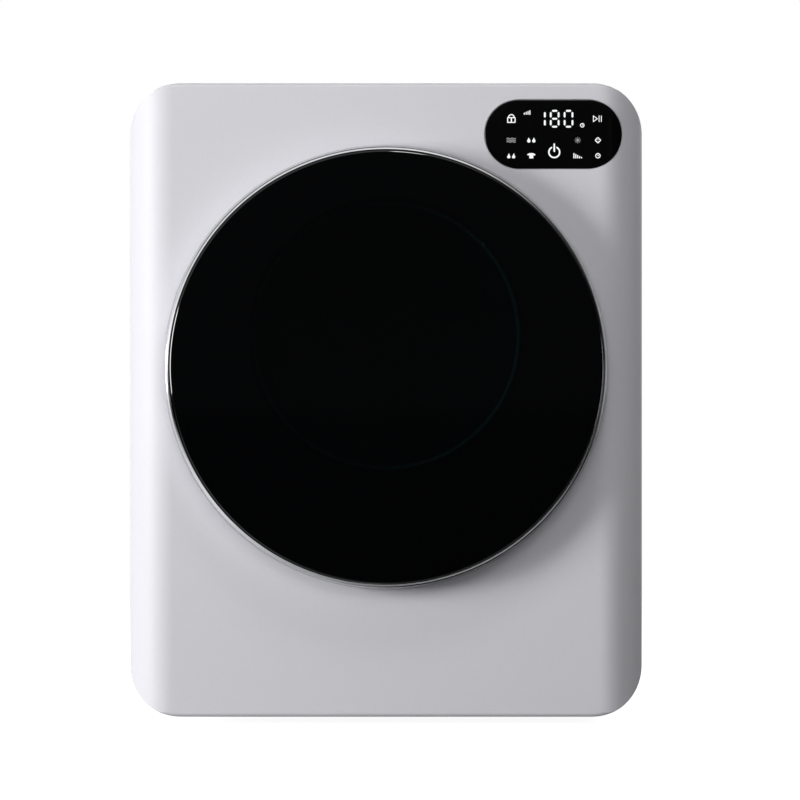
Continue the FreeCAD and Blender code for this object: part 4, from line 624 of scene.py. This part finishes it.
def turned(name, profile, count=240):
    """Sweeps corners of (radius, depth) in millimetres round the door's axis."""
    mesh = bmesh.new()
    turns = [2 * math.pi * i / count for i in range(count)]
    rings = []
    for radius, depth in profile:
        r, y = radius / 1000, face_y + depth / 1000
        around = turns if r > 0 else turns[:1]
        rings.append([mesh.verts.new((r * math.cos(a), y, door_z + r * math.sin(a))) for a in around])
    for first, second in zip(rings, rings[1:] + rings[:1]):
        for i in range(count):
            square = [first[i % len(first)], first[(i + 1) % len(first)],
                      second[(i + 1) % len(second)], second[i % len(second)]]
            corners = list(dict.fromkeys(square))
            if len(corners) > 2:
                mesh.faces.new(corners)
    bmesh.ops.recalc_face_normals(mesh, faces=mesh.faces)
    data = bpy.data.meshes.new(name)
    mesh.to_mesh(data)
    mesh.free()
    piece = bpy.data.objects.new(name, data)
    bpy.context.scene.collection.objects.link(piece)
    return piece


def polish(piece, angle):
    """Shades a piece smooth, apart from edges that turn by more than angle."""
    for face in piece.data.polygons:
        face.use_smooth = True
    piece.data.set_sharp_from_angle(angle=math.radians(angle))


def bend(start, middle, end, count=8):
    """Corners of a curve from start to end that is pulled towards middle."""
    curve = []
    for i in range(count + 1):
        t = i / count
        weights = ((1 - t) ** 2, 2 * t * (1 - t), t ** 2)
        corners = zip(start, middle, end)
        curve.append(tuple(sum(w * part for w, part in zip(weights, parts)) for parts in corners))
    return curve


print("door's axis above the floor, m:", round(door_z, 4))

# %% [markdown]
# The glass is slightly crowned, so that it doesn't mirror like a flat pane. Its edge has the bevel
# that a grinding wheel leaves, which catches a lamp as a short bright dash, and then rolls over.

# %% Door glass
ring_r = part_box("door_ring")[1].x * 1000
ring_w = 5.7
rim = ring_r - ring_w
edge_w, crown_rise, crown_steps = 2.0, 1.5, 12
bevel_w, bevel_t, roll_t = 0.8, 0.5, 1.2
glass_front, glass_back = depth_mm(low.y), depth_mm(high.y)
shoulder = rim - edge_w
crown = [(shoulder * i / crown_steps, glass_front + crown_rise * (i / crown_steps) ** 2)
         for i in range(crown_steps + 1)]
bevel_y = glass_front + crown_rise + bevel_t
edge = bend((shoulder + bevel_w, bevel_y), (rim - 0.1, bevel_y + 0.2), (rim, bevel_y + roll_t))
glass = turned("door_glass_polished", crown + edge + [(rim, glass_back), (0, glass_back)])
polish(glass, 20)
glass.data.materials.append(finishes["smoked_glass"])
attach(glass, "door")
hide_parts("door_glass")
print("glass radius, mm:", round(rim, 2))

# %% [markdown]
# The ring holds the glass between its front lip and a shelf. The lip's narrow bevel catches the light
# as a thin bright line. The steeper chamfer beside it mirrors what stands beside the machine, which
# draws a darker line round the first one. The wall leans out a little towards the back, where it turns
# in again.

# %% Chrome ring
low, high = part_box("door_ring")
front, back = depth_mm(low.y), depth_mm(high.y)
fit = 0.15
seat = rim + fit
turn_in, turn_y = 3.5, 4.0
wall = bend((ring_r - turn_in, back), (ring_r, back - 0.4), (ring_r, back - turn_y))
lip_w, lip_drop, lip_round, chamfer_w = 1.55, 0.52, 0.25, 1.2
lip_edge = (seat + lip_w, front + lip_drop)
lip = [(lip_edge[0] + chamfer_w, lip_edge[1] + chamfer_w), lip_edge]
lip += bend((seat + lip_round, front), (seat + 0.05, front), (seat, front + 1.0), 6)
shelf_front, shelf_back, shelf_r, skirt_r = front + 4.1, front + 7.1, seat - 6.5, seat - 1.5
shelf = [(seat, shelf_front), (shelf_r, shelf_front), (shelf_r, shelf_back), (skirt_r, shelf_back),
         (skirt_r, back)]
ring = turned("door_ring_polished", wall + lip + shelf, 320)
print("ring radius, mm:", round(ring_r, 2))

# %% [markdown]
# On the left the ring is cut away behind its chamfer to make room for the hinge. A box as large as
# that room is taken out of it with a Boolean modifier; the result is kept as the ring's own mesh, so
# that the box can go.

# %% Notch for the hinge
hinge = next(joint for joint in frame["joints"] if joint["name"] == "door_hinge")["pos_m"]
notch_x, notch_y, notch_z = (-0.011, 0.015), (-0.012, 0.0101), (-0.0314, 0.0314)
cutter = bpy.data.objects.new("cutter", bpy.data.meshes.new("cutter"))
bpy.context.scene.collection.objects.link(cutter)
places = [(hinge[0] + x, hinge[1] + y, door_z + z) for x in notch_x for y in notch_y for z in notch_z]
sides = [(0, 1, 3, 2), (4, 6, 7, 5), (0, 4, 5, 1), (2, 3, 7, 6), (0, 2, 6, 4), (1, 5, 7, 3)]
cutter.data.from_pydata(places, [], sides)
notch = ring.modifiers.new("notch", "BOOLEAN")
notch.object = cutter
notch.solver = "EXACT"
bpy.context.view_layer.update()
cut = bpy.data.meshes.new_from_object(ring.evaluated_get(bpy.context.evaluated_depsgraph_get()))
ring.modifiers.clear()
ring.data = cut
bpy.data.objects.remove(cutter)
polish(ring, 20)
ring.data.materials.clear()
ring.data.materials.append(finishes["door_chrome"])
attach(ring, "door")
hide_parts("door_ring")
print("ring faces:", len(ring.data.polygons))

# %% [markdown]
# Air comes in through a grille at the back. A plain slot would show the heater behind it; slanted
# louvres let the air through and keep the eye and the fluff out. The frame round them is one closed
# loop of rounded rectangles joined edge to edge, which gives its edges a small, clean chamfer.

# %% Grille frame
low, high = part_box("intake_grille")
panel_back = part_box("rear_panel")[1].y
mm = 0.001
rim_w, wall_w, soft, corner_r = 6.1 * mm, 13.5 * mm, 0.6 * mm, 5 * mm


def rounded_square(inset, y, radius, steps=6):
    """Corners of the grille's outline, drawn in by inset, at depth y."""
    points = []
    for turn, (x, z) in enumerate(((high.x, high.z), (low.x, high.z), (low.x, low.z), (high.x, low.z))):
        side_x, side_z = (1 if x == high.x else -1), (1 if z == high.z else -1)
        for i in range(steps + 1):
            angle = math.pi / 2 * (turn + i / steps)
            points.append((x - side_x * (inset + radius) + radius * math.cos(angle), y,
                           z - side_z * (inset + radius) + radius * math.sin(angle)))
    return points


def join_rings(mesh, rings, closed):
    """Faces between neighbouring rings of corners; open ends are capped."""
    made = [[mesh.verts.new(point) for point in ring] for ring in rings]
    pairs = zip(made, made[1:] + made[:1]) if closed else zip(made, made[1:])
    for first, second in pairs:
        for i in range(len(first)):
            j = (i + 1) % len(first)
            mesh.faces.new((first[i], first[j], second[j], second[i]))
    if not closed:
        mesh.faces.new(made[0])
        mesh.faces.new(made[-1])


section = [(0.0, panel_back), (0.0, high.y - soft), (soft, high.y), (wall_w - soft, high.y),
           (wall_w, high.y - soft), (wall_w, low.y), (rim_w, low.y), (rim_w, panel_back)]
grille = bmesh.new()
join_rings(grille, [rounded_square(inset, y, max(corner_r - inset, mm)) for inset, y in section], True)
print("frame faces:", len(grille.faces))

# %% [markdown]
# A louvre is a bar that falls as far as it is deep, so that nothing can be seen past the next one. It
# has a blunt nose, as a moulding needs. Its ends go a millimetre into the frame, and the first and
# last one stop there.

# %% Louvres
louvre_t, pitch, bury = 1.1 * mm, 4.0 * mm, 1.0 * mm
nose_y, nose_z = 0.3 * mm, 0.2 * mm
inner, outer = low.y + 0.2 * mm, high.y - 0.5 * mm
fall = outer - inner
ends_x = (low.x + wall_w - bury, high.x - wall_w + bury)
bottom, top = low.z + wall_w - bury, high.z - wall_w + bury
count = int((high.z - low.z - 2 * wall_w + fall) / pitch)
first_z = (low.z + high.z - (count - 1) * pitch + fall) / 2
for i in range(count):
    z = first_z + i * pitch
    tip = z - fall
    profile = [(inner, z), (outer - nose_y, tip), (outer, tip + nose_z), (outer, tip + louvre_t),
               (inner, z + louvre_t)]
    join_rings(grille, [[(x, y, min(max(up, bottom), top)) for y, up in profile] for x in ends_x], False)
bmesh.ops.recalc_face_normals(grille, faces=grille.faces)
data = bpy.data.meshes.new("intake_louvres")
grille.to_mesh(data)
grille.free()
louvres = bpy.data.objects.new("intake_louvres", data)
bpy.context.scene.collection.objects.link(louvres)
polish(louvres, 25)
data.materials.append(finishes["grey_moulding"])
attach(louvres, "cabinet")
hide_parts("intake_grille")
print("louvres:", count, "faces:", len(data.polygons))

# %% [markdown]
# The studio floor is pale and keeps a trace of the machine's shadow. Close by it is a lit matt sheet;
# farther off it fades into plain white, as a paper sweep does. What chrome mirrors of it is set apart
# from what the camera sees, as a photographer does with cards: bright beside the machine on the left,
# dark on the right, and dark farther off in front, where the room behind the camera begins.

# %% Floor
reach = 30.0
data = bpy.data.meshes.new("studio_floor")
data.from_pydata([(-reach, -reach, 0), (reach, -reach, 0), (reach, reach, 0), (-reach, reach, 0)], [],
                 [(0, 1, 2, 3)])
floor = bpy.data.objects.new("studio_floor", data)
bpy.context.scene.collection.objects.link(floor)
print("floor reach, m:", reach)

# %% [markdown]
# The floor's finish first works out where a place lies: how far from the machine, beside it on the
# lit side, or under the dark card. Then it asks who looks: the camera, a mirroring surface, or the
# soft light that is thrown about.

# %% Floor finish
paper_white = (1.0, 1.0, 1.0, 1.0)
sheet_pale, sheet_grey, sheet_dark = (0.8, 0.8, 0.805, 1.0), (0.42, 0.42, 0.42, 1.0), (0.02, 0.02, 0.02, 1.0)
g = material("studio_floor")
x, y, z = g.axes()
distance = (x ** 2.0 + y ** 2.0) ** 0.5
away = distance.between(0.6, 2.2)
close = 1.0 - distance.between(0.4, 1.2)
in_front = -y
beside = (1.0 - x.between(-0.5, 0.02)) * (1.0 - in_front.between(0.5, 1.5))
carded = x.between(-0.1, 0.05) * (1.0 - in_front.between(0.27, 0.33))
behind = y.between(-1.5, 0.5)
seen = g.node("LightPath", out="Is Camera Ray")
mirror = g.node("LightPath", out="Is Glossy Ray")
unseen = g.mix(mirror * (1.0 - close * (1.0 - carded)), sheet_grey, sheet_dark)
sheet = g.node("BsdfDiffuse", {}, {"Color": g.mix(seen, unseen, sheet_pale)})
glow_near = seen * 0.93 + mirror * beside * 0.7
glow_far = seen + (1.0 - seen) * (behind * 0.4) + mirror * beside * 0.6
glow = g.node("Emission", {}, {"Color": paper_white, "Strength": glow_near})
white = g.node("Emission", {}, {"Color": paper_white, "Strength": glow_far})
near = g.node("AddShader", {}, {0: sheet, 1: glow})
sweep = g.node("MixShader", {}, {0: away, 1: near, 2: white})
g.put(g.tree.nodes["Material Output"].inputs["Surface"], sweep)
data.materials.append(g.owner)
print("floor nodes:", len(g.tree.nodes))

# %% [markdown]
# A large soft lamp stands at the left, a little in front, so that the right edge falls into shade and
# the door's shadow lies to its right. A weak one turns the left edge white, and one behind lights the
# back and the right side. One in front, above the camera, has a grid that keeps its light together
# and is aimed high, so that the front fades a little towards the floor. The small one overhead is
# there for the bright dash on the bevel at the top of the glass.

# %% Lamps
def lamp(name, place, aim, width, height, power, spread=180):
    light = bpy.data.lights.new(name, "AREA")
    light.shape = "RECTANGLE"
    light.size = width
    light.size_y = height
    light.energy = power
    light.spread = math.radians(spread)
    stand = bpy.data.objects.new(name, light)
    stand.location = place
    stand.rotation_euler = (Vector(aim) - Vector(place)).to_track_quat("-Z", "Y").to_euler()
    bpy.context.scene.collection.objects.link(stand)
    print("lamp", name, "watts:", power)


lamp("key", place=(-3.1, -1.7, 0.6), aim=(0.0, -0.19, 0.35), width=1.3, height=1.2, power=115)
lamp("left", place=(-3.0, 0.0, 0.35), aim=(0.0, 0.0, 0.28), width=1.0, height=0.6, power=6)
lamp("rear", place=(2.0, 2.9, 1.9), aim=(0.0, 0.2, 0.3), width=1.6, height=1.6, power=50)
lamp("front", place=(0.15, -2.7, 1.7), aim=(0.0, -0.2, 1.0), width=2.0, height=1.4, power=4, spread=60)
lamp("dash", place=(0.2, -1.1, 2.4), aim=(0.0, -0.2, 0.5), width=0.3, height=0.4, power=8)

# %% [markdown]
# The room is white where the camera looks past the machine. Gloss mirrors that white too, except
# towards the front, where the room behind the camera is dark and keeps the glass black, and towards
# the right, where a flag, grey at its side and black in its front half, shades the chrome and the
# panel's end. The ceiling straight above is grey as well, for the darker line round the door's ring.
# The rest is a weak even light, weaker from the right.

# %% World
world = bpy.data.worlds.new("studio")
bpy.context.scene.world = world
g = Graph(world)
x, y, z = g.split(g.node("TexCoord", out="Generated"))
forward = -y
front = forward.between(0.72, 0.96)
right = x.between(0.15, 0.6)
flag = right * (0.68 + forward.between(0.15, 0.45) * 0.32)
ceiling = z.between(0.2, 0.6) * (1.0 - forward.between(0.25, 0.5)) * 0.78
dark = 1.0 - (1.0 - front) * (1.0 - flag) * (1.0 - ceiling)
seen = g.node("LightPath", out="Is Camera Ray")
glossy = g.node("LightPath", out="Is Glossy Ray")
through = g.node("LightPath", out="Is Transmission Ray")
mirrored = (glossy + through).between(0.0, 1.0)
even_light = 0.225 - right * 0.12
room = mirrored * (1.0 - dark * 0.985) + (1.0 - mirrored) * even_light
backdrop = g.tree.nodes["Background"]
backdrop.inputs["Color"].default_value = paper_white
g.put(backdrop.inputs["Strength"], seen + (1.0 - seen) * room)
print("room nodes:", len(g.tree.nodes))

# %% [markdown]
# The picture is taken dead from the front with a long lens, so upright edges stay upright. How far
# back the camera stands follows from the width that it has to see at the machine's face. The machine
# stands a little left of the picture's middle, which a small shift of the lens gives.

# %% Camera
view_width, view_middle = 0.757, 0.308
camera = bpy.data.cameras.new("camera")
camera.lens = 160
camera.sensor_width = 36
camera.shift_x = 0.0175
step_back = view_width * camera.lens / camera.sensor_width
stand = bpy.data.objects.new("camera", camera)
stand.location = (0.0, face_y - step_back, view_middle)
stand.rotation_euler = (math.pi / 2, 0.0, 0.0)
bpy.context.scene.collection.objects.link(stand)
bpy.context.scene.camera = stand
bpy.context.scene.view_settings.view_transform = "Standard"
print("camera stands back, m:", round(step_back, 3))

# %% [markdown]
